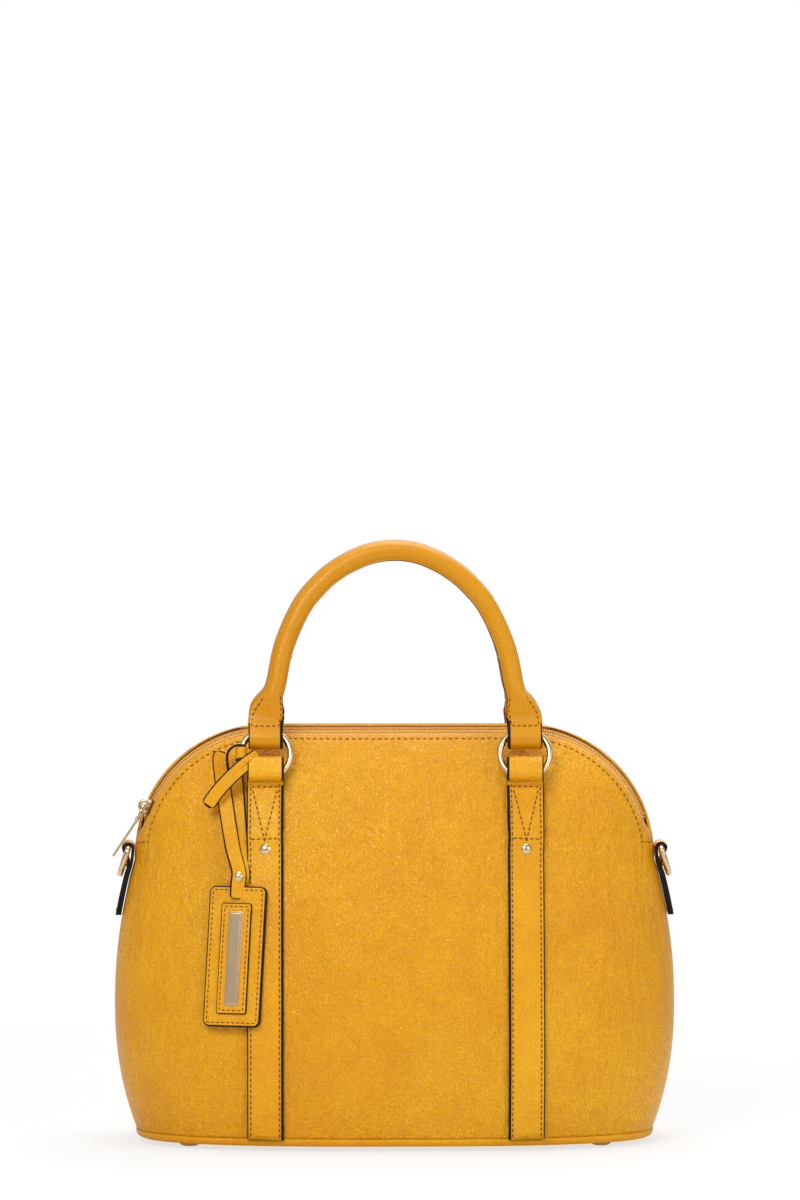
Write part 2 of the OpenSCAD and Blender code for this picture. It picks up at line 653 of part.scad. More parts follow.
tail_end = tail_top - [tail_drop / 2, tail_drop];
tail_y = ring_centre_y - knot_outer - knot_height / 2 * sin(ring_lean) - play;
module tag_strap() {
    color("goldenrod") {
        sheet(tag_strap_grid(sew_gap + tag_strap_thickness), tag_strap_grid(sew_gap));
        translate([-tag_x, tag_pivot_y, tag_pivot_height]) rotate([0, 0, tag_yaw]) rotate([90, 0, 90])
            translate([0, 0, -tag_loop_width / 2]) linear_extrude(tag_loop_width) difference() {
                circle(tag_loop_outer);
                circle(tag_loop_inner);
            }
        translate([0, tail_y, 0]) rotate([90, 0, 0]) linear_extrude(tail_thickness)
            capsule(tail_end, tail_top, tag_strap_width / 2);
    }
}
tag_rivet_diameter = 5.6;
function tag_rivet_y(z) = let (s = (z - tag_strap_low) / (tag_strap_top - tag_strap_low))
    tag_strap_y(tag_strap_x(s), z, sew_gap + tag_strap_thickness) - tag_loop_inner * (1 - smooth(s * 4));
module tag_rivet() {
    s = (tag_rivet_z - tag_strap_low) / (tag_strap_top - tag_strap_low);
    lean = atan((tag_rivet_y(tag_rivet_z + tag_rivet_diameter) - tag_rivet_y(tag_rivet_z - tag_rivet_diameter))
        / (2 * tag_rivet_diameter));
    color("palegoldenrod") translate([tag_strap_x(s), tag_rivet_y(tag_rivet_z), tag_rivet_z])
        rotate([90 - lean, 0, 0]) translate([0, 0, 2 * play]) rivet(tag_rivet_diameter, rivet_head);
}
tag_top = tag_loop_inner - 2 * play;
tag_low = tag_top - tag_height;
tag_low_z = tag_pivot_height + tag_low;
tag_right_y = skin_y(tag_x - tag_width / 2, tag_low_z, front_edge_radius, -sew_gap - strap_leather - play);
tag_left_y = skin_y(tag_x + tag_width / 2, tag_low_z, front_edge_radius, -sew_gap);
tag_yaw = -asin((tag_left_y - tag_right_y) / tag_width);
tag_pitch = asin((tag_pivot_y - (tag_left_y + tag_right_y) / 2 + tag_thickness / 2 + 6 * play) / -tag_low);
module rounded(w, h, r) {
    for (sx = [-1, 1]) for (sy = [-1, 1]) translate([sx * (w / 2 - r), sy * (h / 2 - r)]) circle(r);
    square([w - 2 * r, h], center = true);
    square([w, h - 2 * r], center = true);
}
module at_tag(out) {
    translate([-tag_x, tag_pivot_y, tag_pivot_height]) rotate([-tag_pitch, 0, tag_yaw])
        translate([0, -out, 0]) rotate([90, 0, 0]) children();
}
slot_height = 4 * tag_loop_leather;
slot_top = tag_loop_inner - 3 * play;
module tag_body() {
    color("goldenrod") at_tag(-tag_thickness / 2) linear_extrude(tag_thickness) difference() {
        translate([0, (tag_top + tag_low) / 2]) rounded(tag_width, tag_height, tag_corner);
        translate([0, -slot_top - slot_height / 2])
            square([tag_strap_width + 2 * play, slot_height], center = true);
    }
}
patch_thickness = 1.4;
patch_corner = 1.5;
tag_face = tag_thickness / 2;
patch_low = -patch_height / 2 - slot_top - slot_height - 2 * play;
module tag_patch() {
    color("goldenrod") at_tag(tag_face) linear_extrude(patch_thickness)
        translate([0, patch_low]) rounded(patch_width, patch_height, patch_corner);
}
plate_thickness = 1;
module tag_plate() {
    color("palegoldenrod") at_tag(tag_face + patch_thickness) linear_extrude(plate_thickness)
        translate([0, patch_low]) rounded(plate_width, plate_height, patch_corner / 2);
}

front_panel();
back_panel();
base_panel();
feet();
base_board();
lining();
strap_front_left();
strap_front_right();
strap_rear_left();
strap_rear_right();
strap_rivets();
ring_front_left();
ring_front_right();
ring_rear_left();
ring_rear_right();
handle_front();
handle_rear();
handle_core_front();
handle_core_rear();
zip_tape_front();
zip_tape_rear();
zip_coil_front();
zip_coil_rear();
zip_slider();
zip_pull_link();
zip_pull();
zip_end_left();
zip_end_right();
side_tab_left();
side_tab_right();
d_ring_left();
d_ring_right();
tag_knot();
tag_strap();
tag_rivet();
tag_body();
tag_patch();
tag_plate();
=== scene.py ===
import json
import math
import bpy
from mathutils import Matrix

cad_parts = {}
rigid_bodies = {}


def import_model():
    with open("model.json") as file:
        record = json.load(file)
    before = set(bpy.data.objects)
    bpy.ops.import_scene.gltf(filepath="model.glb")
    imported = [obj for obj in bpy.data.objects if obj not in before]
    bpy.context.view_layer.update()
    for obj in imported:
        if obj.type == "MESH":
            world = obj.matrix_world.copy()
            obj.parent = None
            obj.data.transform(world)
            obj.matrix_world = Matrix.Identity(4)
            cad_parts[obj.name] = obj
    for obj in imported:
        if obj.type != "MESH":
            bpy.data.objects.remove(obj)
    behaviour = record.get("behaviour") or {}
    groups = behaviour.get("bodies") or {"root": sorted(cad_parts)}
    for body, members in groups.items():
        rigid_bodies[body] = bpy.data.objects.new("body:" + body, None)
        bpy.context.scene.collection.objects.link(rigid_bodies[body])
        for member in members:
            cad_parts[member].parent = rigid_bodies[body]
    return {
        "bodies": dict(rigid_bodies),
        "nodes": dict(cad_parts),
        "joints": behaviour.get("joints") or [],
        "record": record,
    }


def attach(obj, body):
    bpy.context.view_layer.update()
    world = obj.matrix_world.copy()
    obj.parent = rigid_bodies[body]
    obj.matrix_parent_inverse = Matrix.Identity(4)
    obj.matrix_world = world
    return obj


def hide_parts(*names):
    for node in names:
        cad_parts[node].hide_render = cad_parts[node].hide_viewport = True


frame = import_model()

from types import SimpleNamespace

import bmesh
import bpy
from mathutils import Matrix, Vector, noise

bl_info = {
    "name": "Domed top handle bag",
    "version": (1, 0, 0),
    "blender": (4, 5, 0),
    "location": "3D View > Sidebar > Bag",
    "description": "Makes a domed top handle bag in faux leather, piece by piece",
    "category": "Add Mesh",
}

MM = 0.001
FACES = ((-1, "front"), (1, "rear"))
HANDS = ((-1, "left"), (1, "right"))
RING_LEAN, HANDLE_LEAN = math.radians(24), math.radians(11.5)
SEWN = ("strap_leather", "edge_paint", "sewing_thread")
# In millimetres: how far a strap's underside stands off the skin, how far the leather that holds a ring does,
# the room between that leather and the ring's wire, and how far the topstitching runs from a panel's edge
LIFT, REST, SLACK, HEM = 0.55, 0.45, 0.3, 3.1
CLOSE = 0.87  # Share of the stitch pitch that straps, handles and side tabs are sewn with
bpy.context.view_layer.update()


# ---------------------------------------------------------------- settings

def length(name, default, description):
    """Length setting, its default given in millimetres."""
    return bpy.props.FloatProperty(name=name, description=description, default=default * MM,
                                   min=0, unit="LENGTH", precision=4)


def paint(red, green, blue):
    """Linear colour from the 0 to 255 values that a picture shows."""
    shares = (value / 255 for value in (red, green, blue))
    return tuple(s / 12.92 if s < 0.04045 else ((s + 0.055) / 1.055) ** 2.4 for s in shares)


def colour(name, default, description):
    """Colour setting, its default given as a picture shows it."""
    return bpy.props.FloatVectorProperty(name=name, description=description, default=paint(*default),
                                         subtype="COLOR", min=0, max=1)


def darker(tone, share):
    return tuple(part * share for part in tone)


class BagBody(bpy.types.PropertyGroup):
    """Sizes of the bag's body."""
    width: length("Width", 339.6, "Greatest width of the body")
    widest: length("Widest height", 85, "Height where the body is widest")
    tuck: length("Base tuck", 13, "How far each side comes in at the base")
    half_depth: length("Half depth", 78, "Greatest distance from the middle plane to a panel")
    deepest: length("Deepest height", 60, "Height where the body is deepest")
    base_depth: length("Base half depth", 71, "Half of the depth at the base")
    leather: length("Leather", 2, "Thickness of a panel")
    seam: length("Base seam", 8, "Height of the seam between the base and the panels")
    half_run: length("Half run", 76.8, "Half of the zip's straight run")
    centre: length("Dome centre", 170.8, "Height of the centres of the dome's two rounds")
    radius: length("Seam radius", 80.6, "Radius of the dome's rounds at the side seams")
    front_edge: length("Front edge", 76.6, "Radius of the front panel's edge by the zip")
    rear_edge: length("Rear edge", 81, "Radius of the back panel's edge by the zip")
    gap: length("Zip half gap", 9, "Half of the gap between the panels' edges")
    zip_start: length("Zip start", 181, "Height where the zip starts on each side")
    zip_rise: length("Zip rise", 18, "Height over which the gap opens")
    crease: length("Crease depth", 0.7, "Depth of the soft wrinkles in the panels")


class BagTrim(bpy.types.PropertyGroup):
    """Sizes of the straps, handles and metal parts."""
    strap: length("Strap width", 22, "Width of the vertical straps")
    strap_leather: length("Strap leather", 2, "Thickness of one layer of strap")
    strap_x: length("Strap place", 78, "Distance of each strap from the middle")
    stitch_high: length("Upper stitch line", 219, "Height of the stitched line under the ring")
    stitch_low: length("Lower stitch line", 185.5, "Height of the stitched line over the rivet")
    rivet_z: length("Rivet height", 180, "Height of the strap rivets")
    wire: length("Ring wire", 3.9, "Wire diameter of the handle rings")
    ring: length("Ring radius", 15, "Radius of the handle rings to the middle of the wire")
    pivot: length("Ring pivot", 224.9, "Height of the lower point the rings turn about")
    grip: length("Grip", 12, "Diameter of the rolled handles")
    tab: length("Tab width", 21.6, "Width of the handles' flat tabs")
    stitch: length("Stitch", 2.6, "Length of one stitch")
    pitch: length("Stitch pitch", 3.9, "Distance from one stitch to the next")
    thread: length("Thread", 0.9, "Thickness of the sewing thread")
    edge: length("Painted edge", 0.85, "Width of the black edge paint that shows on a strap's face")


class BagLooks(bpy.types.PropertyGroup):
    """Colours of the bag's finishes."""
    leather: colour("Leather", (241, 172, 6), "Mustard faux leather")
    # The leather shade colour gives the random deeper patches, and is also used as painted shade in the leather's
    # grooves, creases, low places and fold troughs
    shade: colour("Leather shade", (226, 149, 4), "Deeper patches of the leather")
    light: colour("Leather light", (249, 192, 32), "Paler patches of the leather")
    edge: colour("Edge paint", (20, 18, 18), "Painted edges of the leather")
    thread: colour("Thread", (146, 82, 14), "Sewing thread")
    gold: colour("Metal", (222, 196, 158), "Pale gold of the metal parts")
    tape: colour("Zip tape", (158, 98, 14), "Woven zip tape")
    coil: colour("Zip coil", (238, 176, 66), "Moulded zip coils")
    lining: colour("Lining", (196, 172, 132), "Woven lining")


def millimetres(group):
    """The lengths of a group of settings, in millimetres, by name."""
    return SimpleNamespace(**{name: getattr(group, name) / MM for name in group.__annotations__})


# ---------------------------------------------------------------- materials

class Value:
    """One socket of a material's nodes, for use in Python expressions."""

    def __init__(self, shader, socket):
        self.shader, self.socket = shader, socket

    def math(self, operation, *values):
        sockets = dict(enumerate(values))
        return self.shader.node("ShaderNodeMath", {"operation": operation}, sockets)

    def __add__(self, other): return self.math("ADD", self, other)
    def __radd__(self, other): return self.math("ADD", other, self)
    def __sub__(self, other): return self.math("SUBTRACT", self, other)
    def __rsub__(self, other): return self.math("SUBTRACT", other, self)
    def __mul__(self, other): return self.math("MULTIPLY", self, other)
    def __rmul__(self, other): return self.math("MULTIPLY", other, self)

    def rise(self, low, high):
        """Smooth step from 0 at one value to 1 at another."""
        return self.shader.node("ShaderNodeMapRange", {"interpolation_type": "SMOOTHSTEP"},
                                {"Value": self, "From Min": low, "From Max": high})


class Shader:
    """Node tree of a new material, or of the world."""

    def __init__(self, owner):
        self.owner = owner
        owner.use_nodes = True
        self.tree = owner.node_tree
        self.tree.nodes.clear()

    def node(self, kind, settings, values, output=0):
        """Add a node: its settings first, then the values or links of its sockets."""
        made = self.tree.nodes.new(kind)
        for name, value in settings.items():
            setattr(made, name, value)
        for name, value in values.items():
            if isinstance(value, Value):
                self.tree.links.new(value.socket, made.inputs[name])
            else:
                made.inputs[name].default_value = value
        return Value(self, made.outputs[output])

    def place(self, scale=(1, 1, 1), turn=(0, 0, 0)):
        """The piece's own coordinates in metres, stretched and turned."""
        own = self.node("ShaderNodeTexCoord", {}, {}, "Object")
        return self.node("ShaderNodeMapping", {}, {"Vector": own, "Scale": scale, "Rotation": turn})

    def noise(self, place, scale, detail=2, rough=0.5, output=0):
        return self.node("ShaderNodeTexNoise", {}, {"Vector": place, "Scale": scale, "Detail": detail,
                                                    "Roughness": rough}, output)

    def warp(self, place, scale, amount):
        """Coordinates pushed about by a noise."""
        push = self.noise(place, scale, output="Color")
        moved = self.node("ShaderNodeVectorMath", {"operation": "SUBTRACT"}, {0: push, 1: (0.5,) * 3})
        return self.node("ShaderNodeVectorMath", {"operation": "MULTIPLY_ADD"},
                         {0: moved, 1: (amount,) * 3, 2: place})

    def mix(self, share, first, second):
        """Mix of two colours."""
        values = {0: share}
        for name, value in ((6, first), (7, second)):
            values[name] = value if isinstance(value, Value) else (*value, 1)
        return self.node("ShaderNodeMix", {"data_type": "RGBA"}, values, 2)

    def bump(self, height, depth):
        """Normal from a height between 0 and 1 and a depth in millimetres."""
        return self.node("ShaderNodeBump", {}, {"Height": height, "Strength": 1.0, "Distance": depth * MM})

    def surface(self, value, kind="ShaderNodeOutputMaterial"):
        """Show a value as the surface."""
        self.tree.links.new(value.socket, self.tree.nodes.new(kind).inputs["Surface"])
        return self.owner

    def finish(self, **sockets):
        """Principled surface with the given sockets, spaces in their names written as underlines."""
        return self.surface(self.node("ShaderNodeBsdfPrincipled", {}, {
            name.replace("_", " "): value for name, value in sockets.items()}))


def leather(name, grain=1.0, folds=0.0, rough=0.33, deep=0.0):
    """Pebbled faux leather: creases between pebbles, soft mottling and, on large panels, long folds. Its colour is
    darkened where the bumps dip, as painted shade in the grooves between pebbles, the creases, the low places of the
    broad swell and the troughs of the folds.
    """
    looks = bpy.context.scene.bag_looks
    base, shade, light = tuple(looks.leather), tuple(looks.shade), tuple(looks.light)
    s = Shader(bpy.data.materials.new(name))
    own = s.place()
    place = s.warp(s.warp(own, 60, 0.006), 380, 0.0018)
    pebble = s.node("ShaderNodeTexVoronoi", {"feature": "DISTANCE_TO_EDGE"},
                    {"Vector": place, "Scale": 500, "Randomness": 1.0}).rise(-0.02, 0.16)
    crease = s.noise(s.warp(own, 260, 0.004), 330, 2, 0.5).rise(0.36, 0.62)
    broad = s.noise(s.warp(own, 90, 0.006), 110, 3, 0.55)
    mottle = s.noise(s.warp(own, 24, 0.03), 26, 4, 0.62)
    patch = s.noise(own, 9, 2, 0.5)
    tone = s.mix(mottle.rise(0.34, 0.72) * 0.6, base, shade)
    tone = s.mix(patch.rise(0.44, 0.74) * 0.6, tone, light)
    # Painted shade: darker in the low places of the broad swell of the bumps
    tone = s.mix(broad.rise(0.5, 0.3) * 0.3, tone, shade)
    # Painted shade: darker in the grooves between pebbles and in the creases; deep adds a darker tone to the whole
    # leather
    tone = s.mix(((1 - pebble) * 0.42 + (1 - crease) * 0.14) * grain + deep, tone, darker(shade, 0.78))
    height = pebble * 0.26 + crease * 0.4 + broad * 0.9
    if folds:
        lines = s.noise(s.warp(s.place((1, 1, 0.2), (0, 0.14, 0)), 50, 0.007), 130, 3, 0.55)
        height = height + lines.rise(0.3, 0.7) * folds
        # Painted shade: darker in the troughs of the long folds
        tone = s.mix(lines.rise(0.5, 0.3) * 0.25, tone, shade)
    return s.finish(Base_Color=tone, Roughness=rough + (1 - pebble) * 0.16 - crease * 0.06,
                    Normal=s.bump(height, 0.72 * grain), Specular_IOR_Level=0.3)


def metal(name):
    """Pale gold plating, with faint rub marks."""
    s = Shader(bpy.data.materials.new(name))
    marks = s.noise(s.place((1, 1, 6)), 900, 3, 0.6)
    cloud = s.noise(s.place(), 120)
    gold = tuple(bpy.context.scene.bag_looks.gold)
    tone = s.mix(cloud.rise(0.3, 0.75) * 0.35, gold, darker(gold, 0.8))
    return s.finish(Base_Color=tone, Metallic=1.0, Roughness=marks * 0.1 + 0.16, Normal=s.bump(marks, 0.004))


def fine(name, grain, span, tones, rough, depth, stretch=(1, 1, 1), turn=(0, 0, 0), **constants):
    """A finish with one fine noise, which mixes two tones over a span and gives the roughness and the bumps."""
    s = Shader(bpy.data.materials.new(name))
    grain = s.noise(s.place(stretch, turn), *grain)
    tone = s.mix(grain.rise(*span[:2]) * span[2], *tones)
    return s.finish(Base_Color=tone, Roughness=grain * rough[1] + rough[0], Normal=s.bump(grain, depth), **constants)


def woven(name, tone, scale, stretch=None):
    """Plain weave on a piece's UV map in millimetres, or on its own coordinates."""
    s = Shader(bpy.data.materials.new(name))
    uv = s.place(stretch) if stretch else s.node("ShaderNodeTexCoord", {}, {}, "UV")
    threads = {"Vector": uv, "Scale": scale, "Distortion": 0.4}
    across, along = (s.node("ShaderNodeTexWave", {"bands_direction": way}, threads) for way in "XY")
    weave = across * 0.5 + along * 0.5
    fuzz = s.noise(s.place(), 1500, 3)
    tint = s.mix(weave.rise(0.2, 0.8), darker(tone, 0.62), tone)
    tint = s.mix(fuzz.rise(0.4, 0.8) * 0.3, tint, darker(tone, 0.8))
    return s.finish(Base_Color=tint, Roughness=fuzz * 0.1 + 0.85, Normal=s.bump(weave + fuzz * 0.4, 0.12))


def finish_of(name):
    """One of the bag's finishes, made when first asked for."""
    kind, name = name, name + "_finish"
    found = bpy.data.materials.get(name)
    if found:
        return found
    looks = bpy.context.scene.bag_looks
    thread, coil, edge = tuple(looks.thread), tuple(looks.coil), tuple(looks.edge)
    makers = {
        "panel_leather": lambda: leather(name, folds=1.0),
        "strap_leather": lambda: leather(name, grain=0.7),
        "handle_leather": lambda: leather(name, grain=0.22, rough=0.3, deep=0.66),
        "edge_paint": lambda: fine(name, (340, 3, 0.6), (0.35, 0.8, 0.5), (edge, paint(42, 38, 36)), (0.5, 0.2), 0.12,
                                   Specular_IOR_Level=0.2),
        "gold_metal": lambda: metal(name),
        "sewing_thread": lambda: fine(name, (2400, 2), (0.35, 0.7, 1), (darker(thread, 0.55), thread),
                                      (0.72, 0.1), 0.08),
        "zip_weave": lambda: woven(name, tuple(looks.tape), 0.55),
        "zip_plastic": lambda: fine(name, (600, 2), (0.3, 0.8, 0.4), (coil, darker(coil, 0.72)), (0.38, 0.12), 0.03),
        "lining_weave": lambda: woven(name, tuple(looks.lining), 0.4, (1000, 1000, 1000)),
        "fibre_board": lambda: fine(name, (420, 4, 0.7), (0.3, 0.75, 1), (paint(104, 74, 44), paint(150, 112, 70)),
                                    (0.8, 0.1), 0.1, (1, 4, 1)),
        "cord_cotton": lambda: fine(name, (700, 3), (0.3, 0.7, 1), (paint(176, 158, 128), paint(222, 208, 180)),
                                    (0.85, 0.1), 0.2, (3, 3, 1), (0.5, 0, 0.4)),
    }
    return makers[kind]()


# ---------------------------------------------------------------- meshes

class Piece:
    """A mesh that is built in millimetres and becomes one object of the bag."""

    def __init__(self, name, *finishes):
        self.name, self.finishes = name, finishes
        self.bm = bmesh.new()
        self.uv = self.bm.loops.layers.uv.new("UVMap")

    def grid(self, columns, rows, place, wrap=False, ring=False, parts=None, uv=None):
        """A grid of faces, each corner put at place(column, row). It closes on itself across when wrap is
        true and along when ring is true. parts gives the finish of each column's faces, or of each face."""
        bm = self.bm
        old = set(bm.verts)
        bmesh.ops.create_grid(bm, x_segments=columns, y_segments=rows, size=0.5)
        corners = {v: (round((v.co.x + 0.5) * columns), round((v.co.y + 0.5) * rows))
                   for v in bm.verts if v not in old}
        faces = {f for v in corners for f in v.link_faces}
        for f in faces:
            column, row = (min(corners[v][k] for v in f.verts) for k in (0, 1))
            f.material_index = 0 if not parts else parts(column, row) if callable(parts) else parts[column]
            f.smooth = True
            for loop in f.loops:
                i, j = corners[loop.vert]
                loop[self.uv].uv = uv(i, j) if uv else (i, j)
        for v, (i, j) in corners.items():
            v.co = place(i % columns if wrap else i, j % rows if ring else j)
        verts = list(corners)
        if wrap or ring:
            bmesh.ops.remove_doubles(bm, verts=verts, dist=0.001)
            verts = [v for v in verts if v.is_valid]
        return verts

    def sweep(self, frames, outline, ring=False, parts=None, caps=0):
        """Carry a closed outline along frames of (origin, across, up). Its open ends are filled."""
        def place(i, j):
            origin, across, up, *size = frames[j]
            a, b = outline(j)[i] if callable(outline) else outline[i]
            scale = size[0] if size else 1
            return origin + across * a * scale + up * b * scale
        count = len(outline(0)) if callable(outline) else len(outline)
        verts = self.grid(count, len(frames) if ring else len(frames) - 1, place, wrap=True, ring=ring, parts=parts)
        if not ring:
            for f in bmesh.ops.holes_fill(self.bm, edges=open_edges(verts), sides=0)["faces"]:
                f.material_index = caps
                f.smooth = False

    def band(self, frames, width, thick, *edges):
        """Carry the outline of a strap along frames."""
        outline, parts = strap_outline(width, thick, *edges)
        self.sweep(frames, outline, parts=parts, caps=1)

    def shell(self, columns, rows, outer, inner, uv=None):
        """Two grids, one over the other, joined round their rims."""
        verts = [v for place in (outer, inner) for v in self.grid(columns, rows, place, uv=uv)]
        bmesh.ops.bridge_loops(self.bm, edges=open_edges(verts))

    def stitches(self, spots, part=0, size=None):
        """Sewing stitches at spots of (point, along, up)."""
        trim = millimetres(bpy.context.scene.bag_trim)
        long, thick = size or (trim.stitch, trim.thread)
        row = bmesh.new()
        for point, along, up in spots:
            turn = Matrix((along, up.cross(along).normalized(), up)).transposed().to_4x4()
            bmesh.ops.create_uvsphere(
                row, u_segments=6, v_segments=4, radius=0.5,
                matrix=Matrix.Translation(point) @ turn @ Matrix.Diagonal((long, thick, thick, 1)))
        self.join(row, part)

    def sew(self, points, ups, pitch, part=2, size=None):
        """Stitches along a path. ups is the direction out of the leather, at each point or at them all."""
        ups = ups if isinstance(ups, list) else [ups] * len(points)
        self.stitches(spots_along(points, ups, pitch), part, size)

    def join(self, other, part):
        """Add another mesh to this one, in one finish."""
        for f in other.faces:
            f.material_index = part
            f.smooth = True
        self.absorb(other)

    def absorb(self, other):
        mesh = bpy.data.meshes.new("part")
        other.to_mesh(mesh)
        other.free()
        self.bm.from_mesh(mesh)
        bpy.data.meshes.remove(mesh)

    def lathe(self, outline, point, up=None, steps=32):
        """Spin an outline of (radius, height) round an axis through a point, upright unless told otherwise."""
        bm = bmesh.new()
        chain = [bm.verts.new((radius, 0, height)) for radius, height in outline]
        edges = [bm.edges.new(pair) for pair in zip(chain, chain[1:])]
        bmesh.ops.spin(bm, geom=chain + edges, cent=(0, 0, 0), axis=(0, 0, 1), angle=math.tau,
                       steps=steps, use_merge=True)
        bmesh.ops.remove_doubles(bm, verts=bm.verts, dist=0.001)
        turn = up.to_track_quat("Z", "Y").to_matrix().to_4x4() if up else Matrix()
        bmesh.ops.transform(bm, matrix=Matrix.Translation(point) @ turn, verts=bm.verts)
        self.join(bm, 0)

    def slab(self, outline, thick, matrix, round_off, parts=(0, 0)):
        """A flat plate of an outline, its upper edge rounded off. parts gives the finish of its face and rim."""
        bm = bmesh.new()
        base = bm.faces.new([bm.verts.new((a, b, 0)) for a, b in outline])
        raised = bmesh.ops.extrude_face_region(bm, geom=[base])["geom"]
        top = next(g for g in raised if isinstance(g, bmesh.types.BMFace))
        bmesh.ops.translate(bm, vec=(0, 0, thick), verts=top.verts)
        bmesh.ops.recalc_face_normals(bm, faces=bm.faces)
        for f in bm.faces:
            f.material_index = parts[0] if abs(f.normal.z) > 0.9 else parts[1]
        bmesh.ops.bevel(bm, geom=list(top.edges), offset=round_off, segments=3, profile=0.5,
                        affect="EDGES", material=-1)
        for f in bm.faces:
            if abs(f.normal.z) < 0.98:
                f.material_index = parts[1]
            f.smooth = abs(f.normal.z) < 0.98
        bmesh.ops.transform(bm, matrix=matrix, verts=bm.verts)
        self.absorb(bm)

    def done(self, body, node):
        """Make the object, ride it on its body and hide the CAD node that it stands in for."""
        bm = self.bm
        bmesh.ops.recalc_face_normals(bm, faces=bm.faces)
        bmesh.ops.scale(bm, vec=(MM, MM, MM), verts=bm.verts)
        mesh = bpy.data.meshes.new(self.name)
        bm.to_mesh(mesh)
        bm.free()
        for name in self.finishes:
            mesh.materials.append(finish_of(name))
        made = bpy.data.objects.new(self.name, mesh)
        bpy.context.collection.objects.link(made)
        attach(made, body)
        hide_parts(node)


def open_edges(verts):
    return list({e for v in verts for e in v.link_edges if e.is_boundary})


def curve_through(points, steps):
    """Points of a smooth curve that passes through the given ones."""
    ends = [points[0] * 2 - points[1], *points, points[-1] * 2 - points[-2]]
    made = []
    for a, b, c, d in zip(ends, ends[1:], ends[2:], ends[3:]):
        for k in range(steps):
            t = k / steps
            made.append((b * 2 + (c - a) * t + (a * 2 - b * 5 + c * 4 - d) * t * t
                         + (b * 3 - a - c * 3 + d) * t ** 3) / 2)
    return made + [points[-1]]


def frames_along(points, across, ring=False):
    """Frames of (origin, across, up) along a path whose sideways direction is known."""
    made = []
    count = len(points)
    for k, point in enumerate(points):
        if ring:
            along = points[(k + 1) % count] - points[k - 1]
        else:
            along = points[min(k + 1, count - 1)] - points[max(k - 1, 0)]
        side = across[k] if isinstance(across, list) else across
        up = side.cross(along).normalized()
        made.append((point, along.cross(up).normalized(), up))
    return made


def spots_along(points, ups, pitch):
    """Spots of (point, along, up) at an even pitch along a path."""
    made = []
    travel, due = 0.0, pitch / 2
    for a, b, up_a, up_b in zip(points, points[1:], ups, ups[1:]):
        step = (b - a).length
        while step > 0 and travel + step >= due:
            t = (due - travel) / step
            along = (b - a).normalized()
            up = up_a.lerp(up_b, t)
            up = (up - along * up.dot(along)).normalized()
            made.append((a.lerp(b, t), along, up))
            due += pitch
        travel += step
    return made


def round_outline(radius, count):
    return [(radius * math.cos(math.tau * i / count), radius * math.sin(math.tau * i / count)) for i in range(count)]


def squared(turn, power):
    """Point at an angle of a circle, of half width 1, that a power makes squarer."""
    return [math.copysign(abs(value) ** power, value) for value in (math.cos(turn), math.sin(turn))]


def strap_outline(width, thick, edge, left_edge=None):
    """Outline of a strap with a softly rounded face, and the finish of each of its sides. The black paint
    reaches a little way over the face, and may reach further at one edge than at the other."""
    half, roll = width / 2, thick * 0.3
    left_edge = left_edge or edge

    def side(edge):
        return [(half - edge * 0.3, -thick / 2), (half, -thick / 2 + roll), (half, thick / 2 - roll * 1.4),
                (half - edge * 0.35, thick / 2 - roll * 0.35)]
    face = [(half - edge - (2 * half - edge - left_edge) * k / 6, thick / 2) for k in range(7)]
    left = [(-a, b) for a, b in reversed(side(left_edge))]
    return side(edge) + face + left, [1] * 4 + [0] * 6 + [1] * 4 + [0]


def tangle(*values):
    """A smooth noise of a point in millimetres, from -1 to 1."""
    return noise.noise(Vector(values))


def clip(share):
    return min(1.0, max(0.0, share))


def smooth(share):
    share = clip(share)
    return share * share * (3 - 2 * share)


# ---------------------------------------------------------------- form of the body

